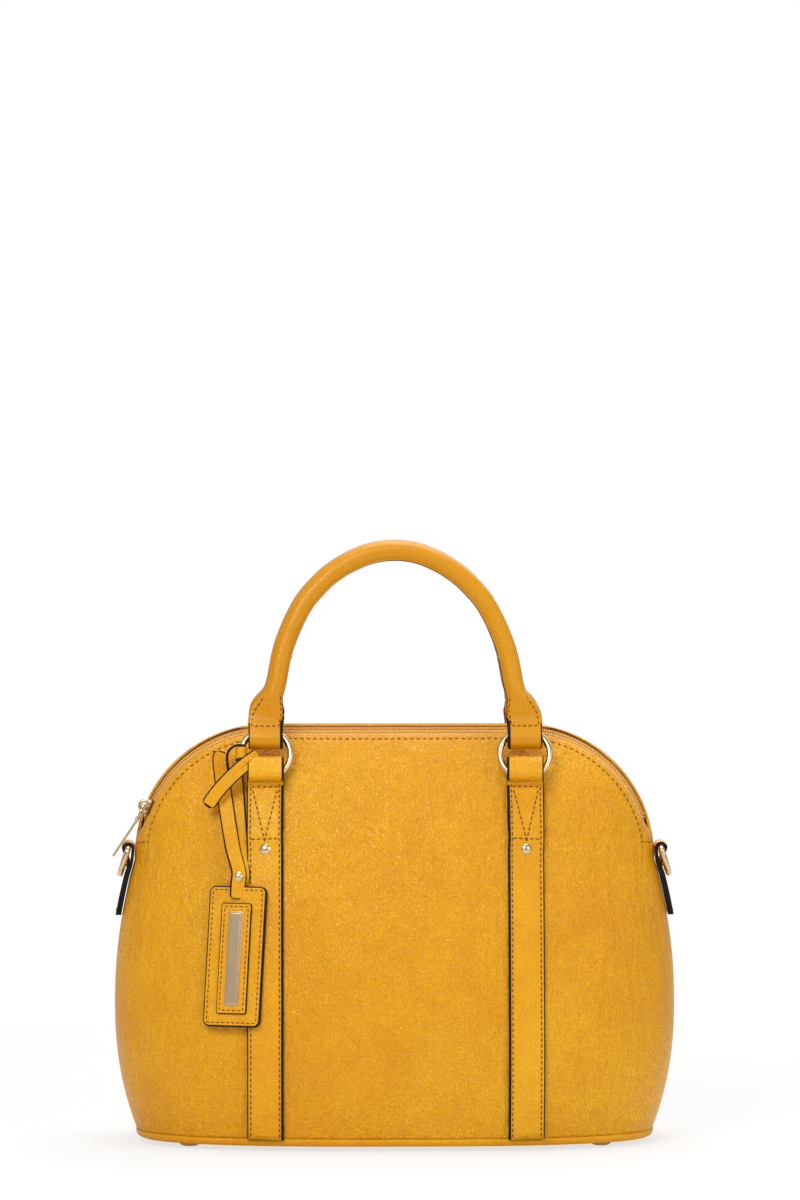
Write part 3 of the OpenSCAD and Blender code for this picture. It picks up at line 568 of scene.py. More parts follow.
class Form:
    """Surface of the body, in millimetres: front at side -1 and back at side 1."""

    def __init__(self):
        self.size = millimetres(bpy.context.scene.bag_body)
        self.half = self.size.width / 2
        self.top_tuck = self.half - self.size.half_run - self.size.radius

    def edge(self, side):
        return self.size.front_edge if side < 0 else self.size.rear_edge

    def zip_rise(self, z):
        return smooth((z - self.size.zip_start) / self.size.zip_rise)

    def half_width(self, z, edge, out):
        s = self.size
        if z >= s.centre:
            r = s.radius + (edge - s.radius) * self.zip_rise(z) + out
            return s.half_run + math.sqrt(max(0, r * r - (z - s.centre) ** 2))
        if z > s.widest:
            return self.half - self.top_tuck * ((z - s.widest) / (s.centre - s.widest)) ** 2 + out
        return self.half - s.tuck * (max(0, s.widest - z) / (s.widest - s.seam)) ** 2.3 + out

    def half_depth(self, z, edge, out):
        s = self.size
        if z < s.deepest:
            return s.half_depth + out - (s.half_depth - s.base_depth) * ((s.deepest - z) / (s.deepest - s.seam)) ** 2
        share = clip((z - s.deepest) / (s.centre + edge + out - s.deepest))
        return s.gap + (s.half_depth + out - s.gap) * max(0, 1 - share ** 1.3) ** 0.55

    def power(self, z):
        return 2.8 - 0.7 * clip((z - self.size.seam) / (self.size.centre + self.size.radius))

    def bulge(self, share, power):
        return max(0, 1 - min(1, abs(share)) ** power) ** (1 / power)

    def skin(self, x, z, side, out=0.0):
        """Point of a panel's skin at a place of the front view, moved out from the bag."""
        edge = self.edge(side)
        lip = self.size.gap * self.zip_rise(z)
        depth = self.half_depth(z, edge, out)
        y = lip + (depth - lip) * self.bulge(x / self.half_width(z, edge, out), self.power(z))
        return Vector((x, side * y, z))

    def flank(self, y, z, side, out=0.0):
        """Point of the bag's left (-1) or right (1) side, at a depth and height."""
        edge = self.size.radius
        x = self.half_width(z, edge, out) * self.bulge(y / self.half_depth(z, edge, out), self.power(z))
        return Vector((side * x, y, z))

    def normal(self, x, z, side):
        """Direction out of a panel's skin."""
        d = 0.4
        across = self.skin(x + d, z, side) - self.skin(x - d, z, side)
        upwards = self.skin(x, z + d, side) - self.skin(x, z - d, side)
        made = across.cross(upwards)
        return (made if made.y * side > 0 else -made).normalized()

    def off(self, x, z, side, out):
        """Point at a true distance from a panel's skin, its relief left out."""
        return self.skin(x, z, side) + self.normal(x, z, side) * out

    def to_edge(self, x, z, side):
        """Distance from a point to the panel's edge by the zip, in the front view."""
        s = self.size
        along = max(0, abs(x) - s.half_run)
        if z < s.centre:
            return 1000.0
        return self.edge(side) - math.hypot(along, z - s.centre)

    def relief(self, x, z, side):
        """Soft unevenness of the stuffed leather: long folds, slack by the base and a line pressed by the seam."""
        s = self.size
        seed = 40.0 * side
        slack = 0.35 + 0.65 * smooth((z - 30) / 160)
        folds = tangle(x / 17 + 0.35 * tangle(z / 40, seed, 3), z / 95 + seed, 7.0)
        fine = tangle(x / 6.5 + 0.5 * tangle(z / 25, seed, 5), z / 34, seed)
        dents = tangle(x / 46, z / 52, seed + 11)
        made = s.crease * (slack * (0.42 * folds + 0.22 * fine) + 0.6 * dents)
        near = self.to_edge(x, z, side)
        hem = 0.35 * (1 - smooth((near - 4.6) / 2.5)) - 0.5 * math.exp(-((near - HEM) / 0.8) ** 2)
        foot = smooth((z - s.seam) / 10)
        return made * smooth(near / 14) * foot * smooth((self.half - abs(x) + 6) / 22) + hem * smooth((near + 2) / 3)


def row_height(form, share, edge, out):
    """Height of a share of a panel's rows: even low down, closing up towards the top."""
    s = form.size
    low = 0.22
    if share <= low:
        return s.seam + (s.deepest - s.seam) * share / low
    return s.deepest + (s.centre + edge + out - s.deepest) * math.sin(math.pi / 2 * (share - low) / (1 - low))


class BagPieceOperator:
    """What the operators of the bag's pieces share."""
    bl_options = {"REGISTER", "UNDO"}

    def execute(self, context):
        self.make(Form(), millimetres(context.scene.bag_trim))
        return {"FINISHED"}


class BAG_OT_panels(BagPieceOperator, bpy.types.Operator):
    """Make the two domed leather panels, with their folds, hems and topstitching"""
    bl_idname = "bag.panels"
    bl_label = "Panels"

    def make(self, form, trim):
        columns, rows = ((230, 170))
        for side, name, node in ((-1, "panel_front", "front_panel"), (1, "panel_rear", "back_panel")):
            edge = form.edge(side)
            piece = Piece(name, "panel_leather", "sewing_thread")

            def layer(out):
                def place(i, j):
                    z = row_height(form, j / rows, edge, 0)
                    half = form.half_width(z, edge, 0)
                    turn = math.pi * i / columns - math.pi / 2
                    x = half * math.sin(turn)
                    swell = form.relief(x, z, side) if out else 0.0
                    spot = form.skin(x * (half + swell) / half, z, side, swell)
                    return spot if out else self.inner(form, spot, turn, z, side)
                return place
            piece.shell(columns, rows, layer(1), layer(0))
            self.seam(piece, form, trim, side)
            piece.done("body", node)

    def inner(self, form, spot, turn, z, side):
        """Inside of the leather, under a point of its skin."""
        thick = form.size.leather * 0.8
        depth = spot.y - side * thick * (0.35 + 0.65 * abs(math.cos(turn)))
        lip = side * form.size.gap * form.zip_rise(z)
        depth = max(depth, lip) if side > 0 else min(depth, lip)
        rim = smooth((form.size.centre + form.edge(side) - z) / 3)
        return Vector((spot.x - math.sin(turn) * thick, depth, z - thick * (1 - rim)))

    def seam(self, piece, form, trim, side):
        """The topstitching that follows the zip."""
        s = form.size
        reach = form.edge(side) - HEM
        start = math.asin((s.zip_start + 1 - s.centre) / reach)
        turns = [start + (math.pi / 2 - start) * k / 40 for k in range(41)]
        right = [(s.half_run + reach * math.cos(t), s.centre + reach * math.sin(t)) for t in turns]
        run = [(s.half_run - 2 * s.half_run * k / 40, s.centre + reach) for k in range(1, 40)]
        turn_out = [(right[0][0] + 2.2 * k, right[0][1] - 0.35 * k) for k in range(5, 0, -1)]
        right = [spot for spot in turn_out if abs(spot[0]) < form.half_width(spot[1], form.edge(side), 0) - 0.6] + right
        outline = right + run + [(-x, z) for x, z in reversed(right)]
        points = [form.off(x, z, side, 0.12 + form.relief(x, z, side)) for x, z in outline]
        piece.sew(points, [form.normal(x, z, side) for x, z in outline], trim.pitch, part=1)


class BAG_OT_straps(BagPieceOperator, bpy.types.Operator):
    """Make the four vertical straps, each looped round its ring, with their stitching and edge paint"""
    bl_idname = "bag.straps"
    bl_label = "Straps"

    def make(self, form, trim):
        for side, depth in FACES:
            for hand, place in HANDS:
                self.strap(form, trim, side, hand * trim.strap_x, f"{depth}_{place}")

    def strap(self, form, trim, side, x, place):
        thick = trim.strap_leather
        piece = Piece(f"vertical_strap_{place}", *SEWN)

        def out(z):
            """Height of the strap's middle over the skin: one layer low down, two where it is folded."""
            return LIFT + thick / 2 + thick * smooth((z - trim.stitch_low + 7) / 8)
        low, rows = form.size.seam + 0.3, 60
        tall = trim.stitch_high - low
        heights = [low + tall * k / rows for k in range(rows + 1)]
        points = [form.off(x, z, side, out(z)) for z in heights]
        pivot_y, inner = ring_pivot(form, trim, side)
        wrap = inner + thick / 2
        lean = math.radians(76)
        pivot = Vector((x, pivot_y, trim.pivot))
        top = pivot + Vector((0, -side * 3.9 * math.cos(lean), 3.9 * math.sin(lean)))

        def round_ring(centre, *turns):
            return [centre + Vector((0, -side * wrap * math.cos(turn), wrap * math.sin(turn)))
                    for turn in map(math.radians, turns)]
        loop = [points[-1], *round_ring(pivot, 190), *round_ring(top, 172, 130, 90, 50, 8),
                *round_ring(pivot, -8, -42, -72)]
        tail = [form.off(x, z, side, LIFT + thick / 2) for z in (216, 212, 204, 196, 191)]
        path = points[:-1] + curve_through(loop + tail, 6)
        level = Vector((-side, 0, 0))
        sides = []
        for k, z in enumerate(heights):
            along = points[min(k + 1, rows)] - points[max(k - 1, 0)]
            sides.append(along.cross(form.normal(x, z, side)).normalized().lerp(level, smooth((z - 198) / 20)))
        frames = frames_along(path, sides + [level] * (len(path) - len(sides)))
        # The edge that faces the middle of the bag shows more of its paint
        piece.band(frames, trim.strap, thick, *(trim.edge, 1.7 * trim.edge)[::side * (1 if x < 0 else -1)])

        def face(dx, z):
            k = clip((z - low) / tall) * (rows - 0.01)
            near, far = frames[int(k)], frames[int(k) + 1]
            point, across, up = (a.lerp(b, k % 1) for a, b in zip(near, far))
            return point + across * dx + up * (thick / 2 + 0.1), up

        def sew(line):
            points, ups = zip(*(face(dx, z) for dx, z in line))
            piece.sew(points, list(ups), trim.pitch * CLOSE)
        inset = trim.strap / 2 - 2.3
        for dx in (-inset, inset):
            sew([(dx, low + 1 + (tall - 1) * k / rows) for k in range(rows + 1)])
        top, low_line = trim.stitch_high - 4, trim.stitch_low
        for z in (top, low_line):
            sew([(-inset + 2 * inset * k / 6, z) for k in range(7)])
        for dx in (-1, 1):
            sew([(dx * (inset - 1.2) * (1 - k / 8), top - 1.5 - (top - low_line - 0.5) * k / 8) for k in range(9)])
        piece.done("body", f"strap_{place}")


def ring_swing(trim):
    """How far the wire of a ring rises between the middle and the edges of a strap."""
    return trim.ring - math.sqrt(trim.ring ** 2 - (trim.strap / 2) ** 2)


def ring_pivot(form, trim, side):
    """Depth of the lower point that a ring turns about, and the inner radius of the strap's loop there."""
    inner = trim.wire / 2 + ring_swing(trim) / 2 + SLACK
    return form.skin(trim.strap_x, trim.stitch_high, side).y + side * (REST + inner + trim.strap_leather), inner


def leaning(side, lean):
    """Upward direction in a plane that leans over the bag."""
    return Vector((0, -side * math.sin(lean), math.cos(lean)))


def over_pivot(form, trim, side, x, rise):
    """Point at a distance from the rings' lower pivot, in the plane that the rings lean in."""
    return Vector((x, ring_pivot(form, trim, side)[0], trim.pivot)) + leaning(side, RING_LEAN) * rise


def ring_centre(form, trim, side, hand):
    """Centre of a handle ring."""
    return over_pivot(form, trim, side, hand * trim.strap_x, trim.ring - ring_swing(trim) / 2)


class BAG_OT_rings(BagPieceOperator, bpy.types.Operator):
    """Make the four rings that join the handles to the straps"""
    bl_idname = "bag.rings"
    bl_label = "Rings"

    def make(self, form, trim):
        level = Vector((1, 0, 0))
        for side, depth in FACES:
            up = leaning(side, RING_LEAN)
            spokes = [level * math.cos(math.tau * k / 72) + up * math.sin(math.tau * k / 72) for k in range(72)]
            for hand, place in HANDS:
                centre = ring_centre(form, trim, side, hand)
                piece = Piece(f"handle_ring_{depth}_{place}", "gold_metal")
                piece.sweep([(centre + spoke * trim.ring, spoke, up.cross(level)) for spoke in spokes],
                            round_outline(trim.wire / 2, 20), ring=True)
                piece.done(f"{depth}_rings", f"ring_{depth}_{place}")


class HandlePlane:
    """The plane that a handle is drawn in, with its pivot at the middle of the two rings' tops."""

    def __init__(self, form, trim, side):
        self.origin = over_pivot(form, trim, side, 0, 2 * trim.ring - ring_swing(trim))
        self.up = leaning(side, HANDLE_LEAN)
        self.out = Vector((0, side * math.cos(HANDLE_LEAN), math.sin(HANDLE_LEAN)))

    def spot(self, x, up, out=0.0):
        return self.origin + Vector((x, 0, 0)) + self.up * up + self.out * out


class BAG_OT_handles(BagPieceOperator, bpy.types.Operator):
    """Make the two rolled handles with their flat tabs, black seam, loops round the rings and stitching"""
    bl_idname = "bag.handles"
    bl_label = "Handles"
    # Half distance between the legs and height over the pivot, from the tab to the top
    course = ((78.2, 3), (78.0, 7), (76.8, 14), (74.1, 22), (71.8, 30), (70.3, 38), (68.8, 46), (66.6, 54), (63.6, 62),
              (59.6, 71), (54.6, 80), (48.2, 88), (39, 97), (26.8, 105), (13.6, 110.4), (0, 112.1))

    def make(self, form, trim):
        for side, name in FACES:
            plane = HandlePlane(form, trim, side)
            leg = [plane.spot(-x, up) for x, up in self.course]
            arch = [plane.spot(x, up) for x, up in reversed(self.course[:-1])]
            path = curve_through(leg + arch, 6)
            frames = frames_along(path, plane.out)
            piece = Piece(f"handle_cover_{name}", "handle_leather", *SEWN[1:])
            rises = [(point - plane.origin).dot(plane.up) for point in path]
            inner = -1 if frames[len(frames) // 2][2].z > 0 else 1
            corners = 28

            def outline(j):
                wide, thick, power = self.girth(trim, rises[j])
                turns = (math.tau * (k + 0.5) / corners for k in range(corners))
                return [(a * thick, b * wide) for a, b in (squared(turn, 2 / power) for turn in turns)]

            def finish(i, j):
                edge = math.sin(math.tau * (i + 1) / corners) * inner
                return int(rises[j] < 24 and edge > 0.7 + 0.29 * smooth((rises[j] - 7) / 15))
            piece.sweep(frames, outline, parts=finish)
            self.seam(piece, frames, trim, rises, inner)
            for hand in (-1, 1):
                self.loop(piece, plane, trim, hand)
            self.sew(piece, plane, trim)
            piece.done(f"{name}_handle", f"handle_{name}")

    def girth(self, trim, up):
        """Half width and half thickness of the handle at a height, and how square its section is."""
        share = smooth((up - 10.5) / 15)
        thick = 2.7 + (trim.grip / 2 - 2.7) * share + 1.5 * smooth((9.5 - up) / 5)
        wide = trim.tab / 2 - (trim.tab - trim.grip) / 2 * share - 0.5 * smooth((7 - up) / 3)
        return wide, thick, 5 - 3 * share

    def seam(self, piece, frames, trim, rises, inner):
        """The painted seam where the rolled leather meets, round the inner side of the arch."""
        lines = []
        for (point, across, up), rise in zip(frames, rises):
            if rise > 20:
                turn = -0.55 + 0.5 * smooth((point.x + 50) / 60)
                spoke = up * inner * math.cos(turn) + across * math.sin(turn)
                side = up * inner * -math.sin(turn) + across * math.cos(turn)
                lines.append((point + spoke * (self.girth(trim, rise)[0] - 0.2), side, spoke))
        outline = [(0.7, -0.9), (0.7, 0.2), (0.4, 0.5), (-0.4, 0.5), (-0.7, 0.2), (-0.7, -0.9)]
        piece.sweep(lines, outline, parts=[1] * 6, caps=1)

    def loop(self, piece, plane, trim, hand):
        """The band that folds round the ring, its ends sewn inside the flat tab."""
        x, wrap = hand * trim.strap_x, 5.65
        bottom = [plane.spot(x, -2.4 + wrap * math.sin(a), -wrap * math.cos(a))
                  for a in map(math.radians, (172, 200, 230, 270, 310, 340, 368))]
        inside = ((76.8, 13, 0.9), (77.6, 9, 1.3), (78, 5, 2.9))
        lead = [plane.spot(hand * x, up, out) for x, up, out in inside]
        back = [plane.spot(hand * x, up, -out) for x, up, out in reversed(inside)]
        path = curve_through(lead + bottom + back, 6)
        piece.band(frames_along(path, Vector((-1, 0, 0))), trim.tab - 0.9, 2.0, *(trim.edge, 2.1 * trim.edge)[::-hand])

    def sew(self, piece, plane, trim):
        """The stitched line down both sides and across the foot of each tab, on both its faces."""
        for hand in (-1, 1):
            for face in (-1, 1):
                def at(part, v):
                    wide, thick, power = self.girth(trim, v)
                    after = next(k for k, (_, up) in enumerate(self.course) if up >= v)
                    (x0, low), (x1, high) = self.course[max(after - 1, 0)], self.course[max(after, 1)]
                    centre = hand * (x0 + (x1 - x0) * (v - low) / (high - low))
                    deep = thick * (1 - abs(part) ** power) ** (1 / power)
                    return plane.spot(centre + part * wide, v, face * (deep + 0.1))
                course = [(-0.78, 22 - k) for k in range(18)] + [(-0.78 + 1.56 * k / 8, 4.6) for k in range(1, 8)]
                course += [(0.78, 5 + k) for k in range(18)]
                piece.sew([at(*spot) for spot in course], plane.out * face, trim.pitch * CLOSE)


class ZipRun:
    """The course of the zip, from its left end over the top to its right end."""

    def __init__(self, form):
        s = form.size
        self.run, self.centre = s.half_run, s.centre
        self.tilt = math.asin((s.rear_edge - s.front_edge) / (2 * s.gap))
        self.radius = (s.rear_edge + s.front_edge) / 2 - 2.6 / math.cos(self.tilt)
        self.low = math.asin((s.zip_start + 0.75 * s.zip_rise - s.centre) / self.radius)

    def line(self, across, height):
        """Points of the zip's whole course, at a place on its cross-section."""
        reach = self.radius - across * math.sin(self.tilt) + height * math.cos(self.tilt)
        y = -(across * math.cos(self.tilt) + height * math.sin(self.tilt))
        turns = [self.low + (math.pi / 2 - self.low) * k / 40 for k in range(41)]
        left = [Vector((-self.run - reach * math.cos(t), y, self.centre + reach * math.sin(t))) for t in turns]
        right = [Vector((-p.x, p.y, p.z)) for p in reversed(left)]
        return left + [left[-1].lerp(right[0], k / 32) for k in range(1, 32)] + right

    def up(self, point):
        """Direction out of the zip at a point of a line."""
        beyond = max(0, abs(point.x) - self.run)
        spoke = Vector((math.copysign(beyond, point.x), 0, point.z - self.centre)).normalized()
        return (spoke * math.cos(self.tilt) + Vector((0, -math.sin(self.tilt), 0))).normalized()


class BAG_OT_zip(BagPieceOperator, bpy.types.Operator):
    """Make the zip's woven tapes, its two rows of coils and the leather ends"""
    bl_idname = "bag.zip"
    bl_label = "Zip"

    def make(self, form, trim):
        run = ZipRun(form)
        for hand, name in ((1, "front"), (-1, "rear")):
            tape = Piece(f"zip_tape_{name}", "zip_weave")
            widths = [0.5, 3.2, 6.0, 9.2, 11.8]
            heights = [-0.1, -0.1, 0.1, 1.1, 1.4]
            upper, lower = ([run.line(hand * w, h - under) for w, h in zip(widths, heights)] for under in (0, 0.7))
            tape.shell(4, len(upper[0]) - 1, lambda i, j: upper[i][j], lambda i, j: lower[i][j],
                       uv=lambda i, j: (widths[i], j * 4.4))
            tape.done("body", f"zip_tape_{name}")

            coil = Piece(f"zip_teeth_{name}", "zip_plastic")
            line = run.line(hand * 1.9, 1.9)
            ups = [run.up(p) for p in line]
            spots = [(point, up.cross(along).normalized(), up) for point, along, up in spots_along(line, ups, 1.5)]
            coil.stitches(spots, size=(3.0, 1.4))
            coil.sweep(frames_along(run.line(hand * 2.9, 1.2), ups), round_outline(0.95, 8))
            coil.done("body", f"zip_coil_{name}")
        self.ends(form, run)

    def ends(self, form, run):
        """Leather tongues that close the two ends of the zip, from over the tape down to where the panels meet."""
        size = form.size
        high = run.low + math.radians(1.6)
        low = math.asin((size.zip_start - 3 - size.centre) / run.radius)
        for hand, name in HANDS:
            piece = Piece(f"zip_end_{name}", *SEWN)
            hub = Vector((hand * run.run, 0, run.centre))
            frames = []
            for k in range(11):
                turn, tilt = high + (low - high) * k / 10, run.tilt * (1 - k / 10)
                spoke = Vector((hand * math.cos(turn), 0, math.sin(turn)))
                up = spoke * math.cos(tilt) + Vector((0, -math.sin(tilt), 0))
                across = Vector((0, -math.cos(tilt), 0)) - spoke * math.sin(tilt)
                frames.append((hub + spoke * (run.radius + 1.0 - 1.9 * smooth(k / 5)), across, up))
            piece.band(frames, 20.6, 1.2, 0.5)
            point, across, up = frames[1]
            piece.stitches([(point + across * a + up * 0.7, across, up) for a in (-8, -4, 0, 4, 8)], part=2)
            piece.done("body", f"zip_end_{name}")


class BAG_OT_side_tabs(BagPieceOperator, bpy.types.Operator):
    """Make the two side tabs that fold round the D-rings, and the D-rings"""
    bl_idname = "bag.side_tabs"
    bl_label = "Side tabs"

    def make(self, form, trim):
        thick, wire, radius, straight, pivot_z = 1.7, 3.6, 13.0, 4.0, 177.5
        inner = wire / 2 + SLACK
        for hand, name in HANDS:
            hub_x = form.flank(0, pivot_z, 1).x + REST + inner + thick
            hub = Vector((hand * hub_x, 0, pivot_z))
            wrap = inner + thick / 2

            outer = [form.flank(0, z, hand, 0.5 + thick * 1.5) for z in (137, 145, 153, 161, 168)]
            bend = [hub + Vector((hand * wrap * math.cos(a), 0, wrap * math.sin(a)))
                    for a in map(math.radians, (-12, 30, 75, 120, 165, 200))]
            under = [form.flank(0, z, hand, 0.5 + thick / 2) for z in (168, 160, 152, 144, 137)]
            piece = Piece(f"side_tab_{name}", *SEWN)
            path = curve_through(outer + bend + under, 5)
            piece.band(frames_along(path, Vector((0, hand, 0))), 20.2, thick, trim.edge)
            lines = [[(y, 139.5 + 3 * k) for k in range(10)] for y in (-8.6, 8.6)]
            lines += [[(y, z) for y in (-8.6, -4, 0, 4, 8.6)] for z in (139.5, 166.5)]
            for line in lines:
                spots = [form.flank(y, z, hand, 0.5 + 2 * thick + 0.1) for y, z in line]
                piece.sew(spots, Vector((hand, 0, 0.1)), trim.pitch * CLOSE)
            piece.done("body", f"side_tab_{name}")

            reach = radius + straight
            rest = form.flank(0, pivot_z - reach, 1, REST + 2 * thick + wire / 2 + 0.6).x
            lean = math.asin((rest - hub_x) / reach)
            down = Vector((hand * math.sin(lean), 0, -math.cos(lean)))
            out = Vector((0, 1, 0)).cross(down)
            corner = 2.6
            bends = [(radius - corner + corner * math.sin(a), corner - corner * math.cos(a))
                     for a in (math.pi / 12 * k for k in range(7))]
            arc = [(radius * math.cos(a), straight + radius * math.sin(a))
                   for a in (math.pi * k / 30 for k in range(31))]
            shape = [(y, 0) for y in (-9, -4.5, 0, 4.5, 9)] + bends + arc + [(-y, drop) for y, drop in reversed(bends)]
            points = [hub + Vector((0, y, 0)) + down * drop for y, drop in shape]
            ring = Piece(f"side_ring_{name}", "gold_metal")
            ring.sweep(frames_along(points, out, ring=True), round_outline(wire / 2, 18), ring=True)
            ring.done(f"{name}_d_ring", f"d_ring_{name}")


class BAG_OT_base(BagPieceOperator, bpy.types.Operator):
    """Make the base panel with its turned-up lip, and its four metal feet"""
    bl_idname = "bag.base"
    bl_label = "Base"

    def make(self, form, trim):
        s = form.size
        columns = 220
        # Inset from the outline and height, from the middle of the bottom to the seam
        rows = ((70, 3.0), (40, 3.0), (20, 3.0), (9, 3.0), (4.2, 3.0), (2.4, 3.2), (1.2, 3.8), (0.45, 4.8), (0.05, 5.9),
                (0, 6.7), (0.25, 7.4), (0.8, 7.9), (1.8, 8.1), (6, 8.1), (30, 8.1), (70, 8.1))

        def place(i, j):
            inset, z = rows[j]
            turn = math.tau * i / columns
            c, d = squared(turn, 2 / form.power(s.seam))
            wide, deep = (half + 0.3 - inset for half in (form.half_width(s.seam, 0, 0), s.base_depth))
            sag = 0.35 * tangle(math.cos(turn) * 3, math.sin(turn) * 3, 2) if 3.1 < z < 8 else 0
            return Vector((c * (wide + sag), d * (deep + sag), z))
        piece = Piece("base_leather", "strap_leather", "sewing_thread")
        verts = piece.grid(columns, len(rows) - 1, place, wrap=True)
        bmesh.ops.holes_fill(piece.bm, edges=open_edges(verts), sides=0)
        piece.done("body", "base_panel")

        feet = Piece("metal_feet", "gold_metal")
        outline = ((0, 0), (3.4, 0), (4.6, 0.25), (5.6, 0.9), (6.2, 1.8), (6.5, 2.6), (6.5, 3.0), (0, 3.0))
        for x in (-124, 124):
            for y in (-36, 36):
                feet.lathe(outline, (x, y, 0), steps=36)
        feet.done("body", "feet")


DOME = ((0, 1.85), (1.0, 1.78), (2.0, 1.5), (2.75, 1.0), (3.15, 0.55), (3.4, 0.5), (3.5, 0.3), (3.5, 0), (0, 0))


class BAG_OT_rivets(BagPieceOperator, bpy.types.Operator):
    """Make the domed rivets on the straps"""
    bl_idname = "bag.rivets"
    bl_label = "Strap rivets"

    def make(self, form, trim):
        piece = Piece("rivets_of_straps", "gold_metal")
        for side, _ in FACES:
            for hand, _ in HANDS:
                x, z = hand * trim.strap_x, trim.rivet_z
                piece.lathe(DOME, form.off(x, z, side, LIFT + trim.strap_leather), form.normal(x, z, side))
        piece.done("body", "strap_rivets")


class TagPlane:
    """The plane of the hanging tag."""

    def __init__(self):
        self.pivot = Vector((-94.1, -57.8175, 156.4))
        yaw, pitch = math.radians(-15.74), math.radians(11.46)
        self.turn = Matrix.Rotation(yaw, 4, "Z") @ Matrix.Rotation(-pitch, 4, "X")
        self.out = self.turn @ Vector((0, -1, 0))

    def matrix(self, out):
        flat = Matrix.Rotation(math.pi / 2, 4, "X")
        return Matrix.Translation(self.pivot) @ self.turn @ Matrix.Translation((0, -out, 0)) @ flat

    def spot(self, x, up, out):
        return self.matrix(out) @ Vector((x, up, 0))


def rounded(width, height, corner, drop):
    """Outline of a rounded rectangle, its middle lowered by drop."""
    made = []
    for quarter, (sx, sy) in enumerate(((1, 1), (-1, 1), (-1, -1), (1, -1))):
        for turn in (math.pi / 2 * (quarter + k / 6) for k in range(7)):
            made.append((sx * (width / 2 - corner) + corner * math.cos(turn),
                         sy * (height / 2 - corner) + corner * math.sin(turn) - drop))
    return made


class BAG_OT_tag(BagPieceOperator, bpy.types.Operator):
    """Make the leather tag with its stitched border, patch and bare metal plate"""
    bl_idname = "bag.tag"
    bl_label = "Tag"

    def make(self, form, trim):
        plane = TagPlane()
        thick, patch_thick, body_drop, patch_drop = 3.0, 1.4, 39.9, 41.35
        face = thick / 2 + patch_thick

        def leaf(name, node, size, deep, back, soft, inset):
            """A leather plate with painted edges and a stitched border."""
            width, height, corner, drop = size
            piece = Piece(name, *SEWN)
            piece.slab(rounded(*size), deep, plane.matrix(back), soft, parts=(0, 1))
            outline = rounded(width - 2 * inset, height - 2 * inset, max(0.8, corner - inset), drop)
            points = [plane.spot(x, v, back + deep + 0.05) for x, v in outline + outline[:1]]
            piece.sew(points, plane.out, trim.pitch * 0.8, size=(trim.stitch * 0.9, trim.thread * 0.85))
            piece.done("tag", node)
        leaf("tag_leather", "tag_body", (35.4, 84.6, 4, body_drop), thick, -thick / 2, 0.9, 2.4)
        leaf("tag_patch_leather", "tag_patch", (18.8, 66.7, 1.6, patch_drop), patch_thick, thick / 2, 0.6, 2.1)

        plate = Piece("tag_metal_plate", "gold_metal")
        plate.slab(rounded(8.8, 56.8, 0.9, patch_drop), 0.9, plane.matrix(face), 0.55)
        plate.slab(rounded(6.4, 54.4, 0.6, patch_drop), 0.5, plane.matrix(face + 0.8), 0.4)
        plate.done("tag", "tag_plate")


class BAG_OT_inside(BagPieceOperator, bpy.types.Operator):
    """Give the lining, the base board, the cord cores and the slider their finishes"""
    bl_idname = "bag.inside"
    bl_label = "Lining, board and slider"

    def make(self, form, trim):
        finishes = {"lining": "lining_weave", "base_board": "fibre_board", "handle_core_front": "cord_cotton",
                    "handle_core_rear": "cord_cotton"}
        for name, node in frame["nodes"].items():
            usual = "gold_metal" if name.startswith("zip_") else "strap_leather"
            for slot in node.material_slots:
                slot.material = finish_of(finishes.get(name, usual))


